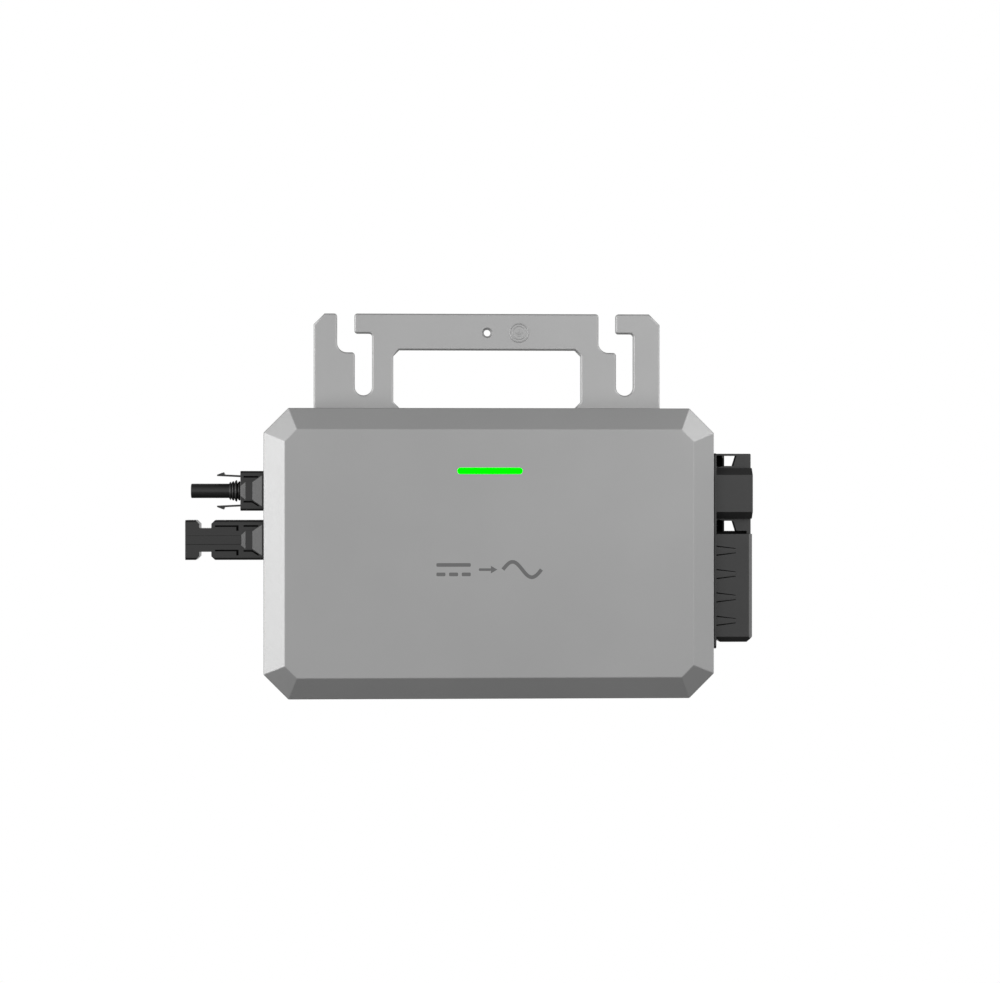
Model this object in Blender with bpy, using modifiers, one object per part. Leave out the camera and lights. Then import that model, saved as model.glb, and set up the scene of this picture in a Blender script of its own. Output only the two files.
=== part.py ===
"""Panel-level solar microinverter: grey cast housing on a slotted hanging plate, a pair of DC
connectors on the left, one AC receptacle on the right, and the electronics inside.

Frame: origin at the centre of the flat rear face. +X is the receptacle side, +Y points out of
the rear face, +Z is up. Metres.
"""
import math

import bmesh
import bpy
from mathutils import Matrix, Vector

MM = 0.001
GAP = 0.3 * MM                      # clearance between pieces that seat on each other

# ---- housing and rear plate ----------------------------------------------------------------
BODY_WIDTH = 211.0 * MM
BODY_HEIGHT = 136.0 * MM
BODY_DEPTH = 35.0 * MM              # rear face to front face
CORNER_CUT = 11.6 * MM              # leg of the chamfered corners
FRONT_INSET = 10.1 * MM             # width of the sloped border round the front face
FRONT_RISE = 5.0 * MM               # how far the front face stands out of that border
WALL = 3.0 * MM
PLATE_THICK = 4.0 * MM
RIM_WIDTH = 9.0 * MM                # inner rim that meets the rear plate
RIM_THICK = 4.0 * MM
GROOVE_INSET = 2.6 * MM
GROOVE_WIDTH = 2.8 * MM
GROOVE_DEPTH = 2.0 * MM

# ---- hanging bracket, the upper part of the rear plate --------------------------------------
BRACKET_WIDTH = 165.6 * MM
BRACKET_TOP = 113.9 * MM            # height of its top edge above the body's centre
BRACKET_CORNER = 5.2 * MM
WINDOW_WIDTH = 89.6 * MM
WINDOW_TOP = 96.5 * MM
WINDOW_SILL = 0.9 * MM              # strip left between the body's top and the window
WINDOW_CORNER = 2.8 * MM
EDGE_ROUND = 0.65 * MM              # rounded front edges
SLOT_PITCH = 125.0 * MM
SLOT_WIDTH = 8.2 * MM               # takes an M8 bolt
SLOT_SHIFT = 8.4 * MM               # sideways step from the mouth to the hanging slot
SLOT_MOUTH_CENTRE = -67.5 * MM      # of the left slot; the right one is a pitch away
HOOK_DROP = 9.5 * MM                # top edge to the underside of the hook
LEDGE_DROP = 18.5 * MM              # top edge to the ledge under the mouth
SLOT_DROP = 39.0 * MM               # top edge to the bottom of the slot
HOOK_ROUND = 1.4 * MM
LEDGE_ROUND = 1.5 * MM
MOUTH_ROUND = 4.6 * MM
EARTH_HOLE_RADIUS = 1.6 * MM
EARTH_HOLE_SINK = 2.45 * MM
EARTH_HOLE_DROP = 9.1 * MM

# ---- screws ---------------------------------------------------------------------------------
COVER_SCREW_RADIUS = 1.9 * MM
COVER_HEAD_RADIUS = 3.3 * MM
COVER_HEAD_HEIGHT = 2.0 * MM
COVER_SCREW_LENGTH = 10.5 * MM
COVER_BOSS_RADIUS = 4.5 * MM
COVER_BOSS_LENGTH = 12.0 * MM
CORNER_SCREW_INSET = 12.0 * MM
MIDDLE_SCREW_INSET = 9.5 * MM
BOARD_SCREW_RADIUS = 1.5 * MM
BOARD_HEAD_RADIUS = 2.8 * MM
BOARD_HEAD_HEIGHT = 1.8 * MM

# ---- main board -----------------------------------------------------------------------------
BOARD_THICK = 1.6 * MM
BOARD_STANDOFF = 4.7 * MM           # height of the board above the rear plate
BOARD_SIDE_ROOM = 13.5 * MM         # board edge to the outside of the housing, left and right
BOARD_TOP_ROOM = 18.0 * MM
STANDOFF_RADIUS = 3.5 * MM
STANDOFF_SIDE_INSET = 12.0 * MM
STANDOFF_TOP_INSET = 6.0 * MM
POTTING_MARGIN = 2.0 * MM

# ---- status light ---------------------------------------------------------------------------
LIGHT_WIDTH = 30.4 * MM
LIGHT_HEIGHT = 2.9 * MM
LIGHT_DROP = 29.4 * MM              # top of the body to the centre of the bar

# ---- DC connectors, on the left -------------------------------------------------------------
DC_AXIS_DEPTH = 17.0 * MM           # both axes, in front of the rear face
DC_PLUG_DROP = 38.7 * MM            # top of the body to the plug's axis
DC_SPACING = 23.0 * MM              # from the plug's axis down to the socket's axis
DC_BLOCK = 18.65 * MM               # height of both connector blocks
DC_BLOCK_DEPTH = 16.0 * MM
DC_CORE_STEP = 1.2 * MM             # how far each step of the core stands out of the last
DC_CORE_HALF = 4.15 * MM
DC_CORE_FOOT = 7.2 * MM             # half height of the core at the wall
DC_NECK_RADIUS = 6.0 * MM           # threaded neck through the housing wall
DC_NECK_LENGTH = 9.6 * MM           # from the housing's outside inwards
DC_NUT_RADIUS = 8.2 * MM
DC_NUT_THICK = 4.5 * MM
DC_SEAL_RADIUS = 8.3 * MM
DC_SEAL_THICK = 1.4 * MM
PLUG_BLOCK_LENGTH = 11.0 * MM
PLUG_NOSE_LENGTH = 34.4 * MM        # from the housing's outside to the tip
PLUG_NOSE_RADIUS = 3.4 * MM
PLUG_BORE_RADIUS = 2.8 * MM
CONTACT_RADIUS = 2.5 * MM
CONTACT_BORE_RADIUS = 2.0 * MM
SEAL_RIB_RISE = 1.7 * MM            # crest of the seal's middle rib above the nose
SEAL_START = 11.3 * MM              # from the housing's outside
SEAL_LENGTH = 4.2 * MM
LATCH_LENGTH = 10.8 * MM
LATCH_THICK = 0.9 * MM
LATCH_WIDTH = 6.4 * MM
LATCH_HEIGHT = 6.9 * MM             # connector axis to the middle of the arm
LATCH_LEAN = 0.5 * MM               # how far the arm's tip leans outwards
BARB_HEIGHT = 1.05 * MM
BARB_LENGTH = 3.6 * MM
SOCKET_LENGTH = 36.7 * MM
SOCKET_HEAD_LENGTH = 4.6 * MM
SOCKET_NOTCH_START = 6.6 * MM       # from the mouth
SOCKET_NOTCH_LENGTH = 5.6 * MM
SOCKET_BARREL_HALF = 5.5 * MM
SOCKET_CHAMFER = 1.6 * MM
SOCKET_RIDGE = 4.3 * MM
SOCKET_RIDGE_RISE = 0.6 * MM
SOCKET_BORE_RADIUS = 5.3 * MM
SOCKET_BORE_DEPTH = 24.0 * MM
PIN_RADIUS = 2.0 * MM
PIN_SETBACK = 6.0 * MM              # tip of the pin behind the socket's mouth

# ---- AC receptacle, on the right ------------------------------------------------------------
AC_AXIS_DEPTH = 17.0 * MM
AC_DEPTH = 20.0 * MM                # front to rear of the moulding
AC_REACH = 18.9 * MM                # housing's outside to the end of the barrel
AC_DROP = 21.0 * MM                 # top of the body to the top of the flange
AC_FLANGE_HEIGHT = 91.9 * MM
AC_FLANGE_THICK = 2.1 * MM
AC_FLANGE_MARGIN = 1.5 * MM
AC_FLANGE_EDGE = 1.1 * MM           # thickness of the flange outside the step
AC_GASKET_INSET = 1.5 * MM
AC_GASKET_WIDTH = 1.5 * MM
AC_GASKET_THICK = 0.9 * MM
AC_BARREL_DROP = 18.9 * MM          # top of the flange to the barrel's axis
AC_BARREL_HEIGHT = 24.0 * MM
AC_BARREL_CHAMFER = 3.3 * MM
AC_WALL = 2.2 * MM
AC_CAVITY_DEPTH = 15.0 * MM
AC_WEB_THICK = 7.0 * MM
AC_WEB_REACH = 18.8 * MM
AC_WINDOW_START = 6.1 * MM          # housing's outside to the near wall of a latch window
AC_WINDOW_SHORT = 4.4 * MM          # width of the window beside the barrel
AC_WINDOW_LONG = 5.9 * MM           # width of the window at the outer edge
AC_WINDOW_HEIGHT = 4.8 * MM
AC_WINDOW_OFFSET = 1.0 * MM         # barrel to the window
AC_BLOCK_DROP = 38.0 * MM           # top of the flange to the top of the lower block
AC_BLOCK_HEIGHT = 51.0 * MM
AC_BLOCK_REACH = 18.7 * MM
AC_BLOCK_CHAMFER = 2.5 * MM
AC_RIB_COUNT = 4
AC_RIB_PITCH = 11.0 * MM
AC_RIB_ROOT = 4.3 * MM
AC_RIB_TIP = 1.9 * MM
AC_RIB_LENGTH = 9.3 * MM
AC_RIB_RISE = 0.8 * MM
AC_RIB_DROP = 7.9 * MM              # top of the lower block to the first rib's centre
AC_POCKET_HEIGHT = 27.0 * MM
AC_POCKET_DEPTH = 12.0 * MM
AC_SCREW_INSET = 6.0 * MM           # top of the lower block to the first screw
AC_SCREW_PITCH = 25.0 * MM
AC_SCREW_LENGTH = 10.0 * MM
AC_PIN_RADIUS = 1.5 * MM
AC_PIN_PITCH = 6.6 * MM
AC_PIN_SETBACK = 3.4 * MM
AC_NECK_HEIGHT = 21.0 * MM
AC_NECK_DEPTH = 14.0 * MM
AC_NECK_LENGTH = 8.5 * MM
AC_INSERT_LENGTH = 5.0 * MM
LEAD_RADIUS = 1.2 * MM

# ---- places worked out from the sizes above -------------------------------------------------
HALF_WIDTH = BODY_WIDTH / 2
HALF_HEIGHT = BODY_HEIGHT / 2
FRONT_Y = -BODY_DEPTH
PLATE_FRONT_Y = -PLATE_THICK
HOUSING_REAR_Y = PLATE_FRONT_Y - GAP
INNER_FRONT_Y = FRONT_Y + WALL
BOARD_REAR_Y = PLATE_FRONT_Y - BOARD_STANDOFF - GAP
BOARD_FRONT_Y = BOARD_REAR_Y - BOARD_THICK
PARTS_Y = BOARD_FRONT_Y - GAP       # board components start here and reach forwards
BOARD_HALF_WIDTH = HALF_WIDTH - BOARD_SIDE_ROOM
BOARD_HALF_HEIGHT = HALF_HEIGHT - BOARD_TOP_ROOM
LEFT_X = -HALF_WIDTH
RIGHT_X = HALF_WIDTH
LIGHT_Z = HALF_HEIGHT - LIGHT_DROP
PLUG_Z = HALF_HEIGHT - DC_PLUG_DROP
SOCKET_Z = PLUG_Z - DC_SPACING
SEAL_RIB_RADIUS = PLUG_NOSE_RADIUS + SEAL_RIB_RISE
DC_Y = -DC_AXIS_DEPTH
AC_Y = -AC_AXIS_DEPTH
AC_TOP = HALF_HEIGHT - AC_DROP
AC_BLOCK_TOP = AC_TOP - AC_BLOCK_DROP
AC_BLOCK_BOTTOM = AC_BLOCK_TOP - AC_BLOCK_HEIGHT
BARREL_Z = AC_TOP - AC_BARREL_DROP
AC_FACE_X = RIGHT_X + GAP + AC_FLANGE_THICK

GREY_PAINT = ("grey_paint", (0.36, 0.36, 0.36), 0.45, 0.6)
BLACK_PLASTIC = ("black_plastic", (0.05, 0.05, 0.05), 0.55, 0.0)
BLACK_RUBBER = ("black_rubber", (0.02, 0.02, 0.02), 0.85, 0.0)
GREEN_LIGHT = ("green_light", (0.0, 0.9, 0.05), 0.30, 0.0)
STEEL = ("steel", (0.55, 0.55, 0.56), 0.35, 1.0)
TINNED = ("tinned_copper", (0.70, 0.70, 0.68), 0.30, 1.0)
GREEN_BOARD = ("green_board", (0.02, 0.16, 0.07), 0.45, 0.0)
POTTING = ("potting", (0.03, 0.03, 0.035), 0.60, 0.0)
FERRITE = ("ferrite", (0.06, 0.06, 0.065), 0.70, 0.0)
COPPER = ("copper_winding", (0.62, 0.30, 0.14), 0.40, 1.0)
CAN = ("capacitor_sleeve", (0.05, 0.06, 0.10), 0.40, 0.0)
YELLOW_FILM = ("film_case", (0.65, 0.45, 0.08), 0.50, 0.0)
RELAY_CASE = ("relay_case", (0.06, 0.10, 0.22), 0.45, 0.0)
CERAMIC = ("ceramic", (0.80, 0.78, 0.72), 0.50, 0.0)
BLUE_DISC = ("varistor_coat", (0.05, 0.15, 0.45), 0.50, 0.0)
CHIP = ("chip_case", (0.03, 0.03, 0.03), 0.60, 0.0)
RED_SLEEVE = ("red_sleeve", (0.50, 0.03, 0.03), 0.50, 0.0)
BLACK_SLEEVE = ("black_sleeve", (0.02, 0.02, 0.02), 0.50, 0.0)
BROWN_SLEEVE = ("brown_sleeve", (0.20, 0.09, 0.04), 0.50, 0.0)
BLUE_SLEEVE = ("blue_sleeve", (0.04, 0.10, 0.45), 0.50, 0.0)
GREEN_SLEEVE = ("green_sleeve", (0.25, 0.45, 0.05), 0.50, 0.0)

# local x, y, z of a prism whose length runs along the named axis
PRISM_TURN = {
    "X": Matrix(((0, 0, 1), (1, 0, 0), (0, 1, 0))).to_4x4(),
    "Y": Matrix(((1, 0, 0), (0, 0, -1), (0, 1, 0))).to_4x4(),
    "Z": Matrix.Identity(4),
}
ALONG = {
    "+X": Matrix.Rotation(math.pi / 2, 4, "Y"),
    "-X": Matrix.Rotation(-math.pi / 2, 4, "Y"),
    "+Y": Matrix.Rotation(-math.pi / 2, 4, "X"),
    "-Y": Matrix.Rotation(math.pi / 2, 4, "X"),
    "+Z": Matrix.Identity(4),
}


# ---- shared helpers -------------------------------------------------------------------------
def clear_scene():
    for obj in list(bpy.data.objects):
        bpy.data.objects.remove(obj, do_unlink=True)


def new_collection(name):
    collection = bpy.data.collections.new(name)
    bpy.context.scene.collection.children.link(collection)
    return collection


clear_scene()
PARTS = new_collection("solar_microinverter")
CUTTERS = new_collection("cutters")


def material(look):
    name, colour, roughness, metallic = look
    found = bpy.data.materials.get(name)
    if found:
        return found
    made = bpy.data.materials.new(name)
    made.use_nodes = True
    shader = made.node_tree.nodes["Principled BSDF"]
    shader.inputs["Base Color"].default_value = (*colour, 1.0)
    shader.inputs["Roughness"].default_value = roughness
    shader.inputs["Metallic"].default_value = metallic
    made.diffuse_color = (*colour, 1.0)
    return made


def add_object(name, mesh, look, matrix=None):
    """A finished piece when it has a look, otherwise a tool that cuts or joins."""
    obj = bpy.data.objects.new(name, mesh)
    obj.matrix_world = matrix or Matrix.Identity(4)
    if look:
        mesh.materials.append(material(look))
        PARTS.objects.link(obj)
    else:
        CUTTERS.objects.link(obj)
        obj.hide_render = True
        obj.display_type = "WIRE"
    return obj


def block(name, low, high, look=None):
    """Box between two corners."""
    low = Vector(low)
    high = Vector(high)
    bm = bmesh.new()
    bmesh.ops.create_cube(bm, size=1.0)
    size = high - low
    bmesh.ops.scale(bm, vec=size, verts=bm.verts)
    bmesh.ops.translate(bm, vec=(low + high) / 2, verts=bm.verts)
    mesh = bpy.data.meshes.new(name)
    bm.to_mesh(mesh)
    bm.free()
    return add_object(name, mesh, look)


def rod(name, start, length, radius, along, look=None, sides=24):
    """Cylinder from a point, reaching along one axis."""
    bm = bmesh.new()
    bmesh.ops.create_cone(bm, cap_ends=True, segments=sides, radius1=radius, radius2=radius, depth=length)
    bmesh.ops.translate(bm, vec=(0, 0, length / 2), verts=bm.verts)
    mesh = bpy.data.meshes.new(name)
    bm.to_mesh(mesh)
    bm.free()
    smooth(mesh)
    return add_object(name, mesh, look, Matrix.Translation(start) @ ALONG[along])


def smooth(mesh):
    mesh.shade_smooth()
    mesh.set_sharp_from_angle(angle=math.radians(35))


def turned(name, origin, profile, along, look=None, steps=24):
    """Profile of (radius, height) points turned about an axis; it runs down its outer side."""
    bm = bmesh.new()
    verts = [bm.verts.new((radius, 0.0, height)) for radius, height in profile]
    pairs = list(zip(verts, verts[1:]))
    if profile[0][0] > 0:
        pairs.append((verts[-1], verts[0]))
    for first, second in pairs:
        bm.edges.new((first, second))
    mesh = bpy.data.meshes.new(name)
    bm.to_mesh(mesh)
    bm.free()
    obj = add_object(name, mesh, look, Matrix.Translation(origin) @ ALONG[along])
    screw = obj.modifiers.new("turn", "SCREW")
    screw.steps = steps
    screw.render_steps = steps
    screw.use_merge_vertices = True
    screw.merge_threshold = 0.00001
    screw.use_smooth_shade = False
    return obj


def mesh_from_curve(obj):
    """The curve's solid as a mesh with its caps welded."""
    graph = bpy.context.evaluated_depsgraph_get()
    graph.update()
    mesh = bpy.data.meshes.new_from_object(obj.evaluated_get(graph))
    bm = bmesh.new()
    bm.from_mesh(mesh)
    bmesh.ops.remove_doubles(bm, verts=bm.verts, dist=0.000002)
    bm.to_mesh(mesh)
    bm.free()
    return mesh


def prism(name, outline, axis, low, high, look=None, holes=()):
    """Flat outline, with holes, given thickness along one axis."""
    curve = bpy.data.curves.new(name, "CURVE")
    curve.dimensions = "2D"
    curve.fill_mode = "BOTH"
    curve.extrude = (high - low) / 2
    for loop in (outline, *holes):
        spline = curve.splines.new("POLY")
        spline.points.add(len(loop) - 1)
        for point, (first, second) in zip(spline.points, loop):
            point.co = (first, second, 0.0, 1.0)
        spline.use_cyclic_u = True
    middle = (low + high) / 2
    offset = {"X": (middle, 0, 0), "Y": (0, middle, 0), "Z": (0, 0, middle)}[axis]
    shape = bpy.data.objects.new(name + "_outline", curve)
    CUTTERS.objects.link(shape)
    mesh = mesh_from_curve(shape)
    bpy.data.objects.remove(shape, do_unlink=True)
    mesh.name = name
    mesh.materials.clear()
    return add_object(name, mesh, look, Matrix.Translation(offset) @ PRISM_TURN[axis])


def boolean(obj, tool, operation):
    step = obj.modifiers.new(operation.lower(), "BOOLEAN")
    step.operation = operation
    step.object = tool
    step.solver = "EXACT"


def cut(obj, *tools):
    for tool in tools:
        boolean(obj, tool, "DIFFERENCE")


def fuse(obj, *tools):
    for tool in tools:
        boolean(obj, tool, "UNION")


def chamfer(obj, width, segments=1, angle=50):
    bevel = obj.modifiers.new("edges", "BEVEL")
    bevel.width = width
    bevel.segments = segments
    bevel.limit_method = "ANGLE"
    bevel.angle_limit = math.radians(angle)


def arc(centre, radius, start, end, count=5):
    """Points along an arc, angles in degrees."""
    points = []
    for step in range(count + 1):
        angle = math.radians(start + (end - start) * step / count)
        points.append((centre[0] + radius * math.cos(angle), centre[1] + radius * math.sin(angle)))
    return points


def rectangle(left, right, bottom, top, corner=0.0):
    """Rectangle with 45 degree corners, anticlockwise from the bottom left."""
    if corner <= 0:
        return [(left, bottom), (right, bottom), (right, top), (left, top)]
    return [
        (left + corner, bottom), (right - corner, bottom),
        (right, bottom + corner), (right, top - corner),
        (right - corner, top), (left + corner, top),
        (left, top - corner), (left, bottom + corner),
    ]


def body_outline(inset=0.0):
    """The housing's eight-sided outline, shrunk evenly."""
    corner = CORNER_CUT - inset * (2 - math.sqrt(2))
    width = HALF_WIDTH - inset
    height = HALF_HEIGHT - inset
    return rectangle(-width, width, -height, height, corner)


def cover_screw_places():
    side = HALF_WIDTH - CORNER_SCREW_INSET
    top = HALF_HEIGHT - CORNER_SCREW_INSET
    middle = HALF_HEIGHT - MIDDLE_SCREW_INSET
    return [(-side, top), (0.0, middle), (side, top), (side, -top), (0.0, -middle), (-side, -top)]


def standoff_places():
    side = BOARD_HALF_WIDTH - STANDOFF_SIDE_INSET
    top = BOARD_HALF_HEIGHT - STANDOFF_TOP_INSET
    return [(-side, top), (side, top), (side, -top), (-side, -top)]


# ---- housing --------------------------------------------------------------------------------
def housing_shell():
    """Open box with a raised, sloped-edged front: a flat outline extruded and inset."""
    bm = bmesh.new()
    rear = [bm.verts.new((x, HOUSING_REAR_Y, z)) for x, z in body_outline()]
    face = bm.faces.new(rear)
    grown = bmesh.ops.extrude_face_region(bm, geom=[face])
    front = [item for item in grown["geom"] if isinstance(item, bmesh.types.BMFace)][0]
    side_y = FRONT_Y + FRONT_RISE
    bmesh.ops.translate(bm, vec=(0, side_y - HOUSING_REAR_Y, 0), verts=front.verts)
    bm.normal_update()
    if front.normal.y > 0:
        front.normal_flip()
    bmesh.ops.inset_region(bm, faces=[front], thickness=FRONT_INSET, depth=FRONT_RISE, use_even_offset=True)
    for item in [item for item in bm.faces if abs(item.calc_center_median().y - HOUSING_REAR_Y) < GAP / 10]:
        bmesh.ops.delete(bm, geom=[item], context="FACES_ONLY")
    bmesh.ops.recalc_face_normals(bm, faces=bm.faces)
    middle = [item for item in bm.faces if abs(item.calc_center_median().y - FRONT_Y) < GAP / 10][0]
    if middle.normal.y > 0:
        bmesh.ops.reverse_faces(bm, faces=bm.faces)
    mesh = bpy.data.meshes.new("front_housing")
    bm.to_mesh(mesh)
    bm.free()
    shell = add_object("front_housing", mesh, GREY_PAINT)
    skin = shell.modifiers.new("wall", "SOLIDIFY")
    skin.thickness = WALL
    skin.offset = -1.0
    skin.use_even_offset = True
    return shell


def build_housing():
    shell = housing_shell()
    rim_front = HOUSING_REAR_Y - RIM_THICK
    rim = prism("housing_rim", body_outline(WALL / 2), "Y", rim_front, HOUSING_REAR_Y,
                holes=[body_outline(RIM_WIDTH)])
    fuse(shell, rim)
    for number, (x, z) in enumerate(cover_screw_places(), 1):
        start = (x, HOUSING_REAR_Y, z)
        boss = rod(f"cover_boss_{number}", start, COVER_BOSS_LENGTH, COVER_BOSS_RADIUS, "-Y")
        fuse(shell, boss)
    for number, (x, z) in enumerate(cover_screw_places(), 1):
        start = (x, HOUSING_REAR_Y + GAP, z)
        hole = rod(f"cover_boss_hole_{number}", start, COVER_BOSS_LENGTH - WALL / 2,
                   COVER_SCREW_RADIUS + GAP, "-Y")
        cut(shell, hole)
    groove = prism("gasket_groove", body_outline(GROOVE_INSET), "Y",
                   HOUSING_REAR_Y - GROOVE_DEPTH, HOUSING_REAR_Y + GAP,
                   holes=[body_outline(GROOVE_INSET + GROOVE_WIDTH)])
    cut(shell, groove)
    cut(shell, *wall_openings())
    return shell


def wall_openings():
    """Light window, the two DC neck holes, the AC neck window and its two screw holes."""
    tools = [light_bar("light_window", FRONT_Y - WALL, INNER_FRONT_Y + WALL, GAP)]
    for name, z in (("plug_hole", PLUG_Z), ("socket_hole", SOCKET_Z)):
        start = (LEFT_X - WALL, DC_Y, z)
        tools.append(rod(name, start, 3 * WALL, DC_NECK_RADIUS + GAP, "+X"))
    tools.append(ac_neck("ac_neck_window", RIGHT_X - 2 * WALL, RIGHT_X + WALL, GAP))
    for number, z in enumerate(ac_screw_heights(), 1):
        start = (RIGHT_X - 2 * WALL, AC_Y, z)
        tools.append(rod(f"ac_screw_hole_{number}", start, 3 * WALL, BOARD_SCREW_RADIUS + GAP, "+X"))
    return tools


def build_rear_plate():
    plate = prism("back_plate", plate_outline(), "Y", PLATE_FRONT_Y, 0.0, GREY_PAINT,
                  holes=[window_outline()])
    round_front_edges(plate)
    for number, (x, z) in enumerate(standoff_places(), 1):
        start = (x, PLATE_FRONT_Y + GAP, z)
        post = rod(f"standoff_{number}", start, BOARD_STANDOFF + GAP, STANDOFF_RADIUS, "-Y")
        fuse(plate, post)
        hole_start = (x, PLATE_FRONT_Y - GAP, z)
        hole_radius = BOARD_SCREW_RADIUS + GAP
        hole = rod(f"standoff_hole_{number}", hole_start, BOARD_STANDOFF + GAP, hole_radius, "-Y")
        cut(plate, hole)
    for number, (x, z) in enumerate(cover_screw_places(), 1):
        seat = COVER_HEAD_HEIGHT + 2 * GAP
        narrow = COVER_SCREW_RADIUS + GAP
        wide = COVER_HEAD_RADIUS + GAP
        profile = [(0, GAP), (wide, GAP), (wide, -seat), (narrow, -seat),
                   (narrow, -PLATE_THICK - GAP), (0, -PLATE_THICK - GAP)]
        cut(plate, turned(f"cover_screw_seat_{number}", (x, 0, z), profile, "+Y"))
    sink = EARTH_HOLE_SINK - EARTH_HOLE_RADIUS
    profile = [(0, GAP), (EARTH_HOLE_SINK + GAP, GAP), (EARTH_HOLE_RADIUS, -sink),
               (EARTH_HOLE_RADIUS, -PLATE_THICK - GAP), (0, -PLATE_THICK - GAP)]
    place = (0, PLATE_FRONT_Y, BRACKET_TOP - EARTH_HOLE_DROP)
    cut(plate, turned("earth_hole", place, profile, "-Y"))


def plate_outline():
    """Body outline with the bracket above it, anticlockwise from the bottom left."""
    points = body_outline()[:4]
    points.append((HALF_WIDTH - CORNER_CUT, HALF_HEIGHT))
    half = BRACKET_WIDTH / 2
    points.append((half, HALF_HEIGHT))
    points.append((half, BRACKET_TOP - BRACKET_CORNER))
    points.append((half - BRACKET_CORNER, BRACKET_TOP))
    points.extend(hook_slot(SLOT_MOUTH_CENTRE + SLOT_PITCH))
    points.extend(hook_slot(SLOT_MOUTH_CENTRE))
    points.append((BRACKET_CORNER - half, BRACKET_TOP))
    points.append((-half, BRACKET_TOP - BRACKET_CORNER))
    points.append((-half, HALF_HEIGHT))
    points.append((CORNER_CUT - HALF_WIDTH, HALF_HEIGHT))
    points.extend(body_outline()[6:])
    return points


def hook_slot(mouth_centre):
    """Slot open at the top, stepping sideways under a hook; walked from its right to its left."""
    mouth_left = mouth_centre - SLOT_WIDTH / 2
    mouth_right = mouth_left + SLOT_WIDTH
    slot_left = mouth_left + SLOT_SHIFT
    slot_right = slot_left + SLOT_WIDTH
    hook = BRACKET_TOP - HOOK_DROP
    ledge = BRACKET_TOP - LEDGE_DROP
    radius = SLOT_WIDTH / 2
    bottom = BRACKET_TOP - SLOT_DROP + radius
    points = arc((mouth_right + HOOK_ROUND, BRACKET_TOP - HOOK_ROUND), HOOK_ROUND, 90, 180, 4)
    points += arc((mouth_right + HOOK_ROUND, hook + HOOK_ROUND), HOOK_ROUND, 180, 270, 4)
    points += arc((slot_right - LEDGE_ROUND, hook - LEDGE_ROUND), LEDGE_ROUND, 90, 0, 4)
    points += arc((slot_left + radius, bottom), radius, 0, -180, 12)
    points += arc((slot_left - LEDGE_ROUND, ledge - LEDGE_ROUND), LEDGE_ROUND, 0, 90, 4)
    points += arc((mouth_left + MOUTH_ROUND, ledge + MOUTH_ROUND), MOUTH_ROUND, -90, -180, 7)
    points += arc((mouth_left - LEDGE_ROUND, BRACKET_TOP - LEDGE_ROUND), LEDGE_ROUND, 0, 90, 4)
    return points


def window_outline():
    half = WINDOW_WIDTH / 2
    return rectangle(-half, half, HALF_HEIGHT + WINDOW_SILL, WINDOW_TOP, WINDOW_CORNER)


def round_front_edges(plate):
    """Bevel weights on the outline of the plate's front face only."""
    mesh = plate.data
    bm = bmesh.new()
    bm.from_mesh(mesh)
    weight = bm.edges.layers.float.new("bevel_weight_edge")
    front = PLATE_THICK / 2
    for edge in bm.edges:
        on_front = all(abs(vert.co.z - front) < GAP / 10 for vert in edge.verts)
        if on_front and edge.calc_face_angle(0) > math.radians(60):
            edge[weight] = 1.0
    bm.to_mesh(mesh)
    bm.free()
    bevel = plate.modifiers.new("front_edges", "BEVEL")
    bevel.width = EDGE_ROUND
    bevel.segments = 2
    bevel.limit_method = "WEIGHT"


def build_cover_hardware():
    near = GROOVE_INSET + GAP
    far = GROOVE_INSET + GROOVE_WIDTH - GAP
    prism("cover_gasket", body_outline(near), "Y", HOUSING_REAR_Y - GROOVE_DEPTH + GAP, HOUSING_REAR_Y,
          BLACK_RUBBER, holes=[body_outline(far)])
    for number, (x, z) in enumerate(cover_screw_places(), 1):
        screw(f"cover_screw_{number}", (x, -GAP, z), "-Y", COVER_HEAD_RADIUS, COVER_HEAD_HEIGHT,
              COVER_SCREW_RADIUS, COVER_SCREW_LENGTH)


def screw(name, head_top, along, head_radius, head_height, radius, length):
    """Pan head at the start, shank reaching away from it, hexagon socket in the head."""
    socket = radius * 0.8
    depth = head_height * 0.55
    profile = [(0, head_height + length), (radius * 0.7, head_height + length),
               (radius, head_height + length - radius * 0.5), (radius, head_height),
               (head_radius, head_height), (head_radius, head_height * 0.35),
               (head_radius * 0.85, 0), (socket, 0), (socket, depth), (0, depth)]
    return turned(name, head_top, profile, along, STEEL, steps=12)


# ---- status light ---------------------------------------------------------------------------
def light_bar(name, low, high, margin=0.0, look=None):
    """Bar with round ends, lengthwise in X."""
    radius = LIGHT_HEIGHT / 2 + margin
    reach = LIGHT_WIDTH / 2 - LIGHT_HEIGHT / 2
    outline = arc((reach, LIGHT_Z), radius, -90, 90, 8) + arc((-reach, LIGHT_Z), radius, 90, 270, 8)
    return prism(name, outline, "Y", low, high, look)


def build_status_light():
    flange_front = INNER_FRONT_Y + GAP
    pipe = light_bar("led_light_pipe", FRONT_Y + 0.1 * MM, flange_front + 1.0 * MM, 0.0, GREEN_LIGHT)
    half = LIGHT_WIDTH / 2 + 2.0 * MM
    rise = LIGHT_HEIGHT / 2 + 2.0 * MM
    flange = block("pipe_flange", (-half, flange_front, LIGHT_Z - rise),
                   (half, flange_front + 1.5 * MM, LIGHT_Z + rise))
    fuse(pipe, flange)
    led_front = PARTS_Y - 1.4 * MM
    stem = block("pipe_stem", (-2.0 * MM, flange_front + 1.2 * MM, LIGHT_Z - 2.0 * MM),
                 (2.0 * MM, led_front - GAP, LIGHT_Z + 2.0 * MM))
    fuse(pipe, stem)
    block("status_led", (-1.8 * MM, led_front, LIGHT_Z - 1.5 * MM), (1.8 * MM, PARTS_Y, LIGHT_Z + 1.5 * MM),
          CERAMIC)


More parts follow.
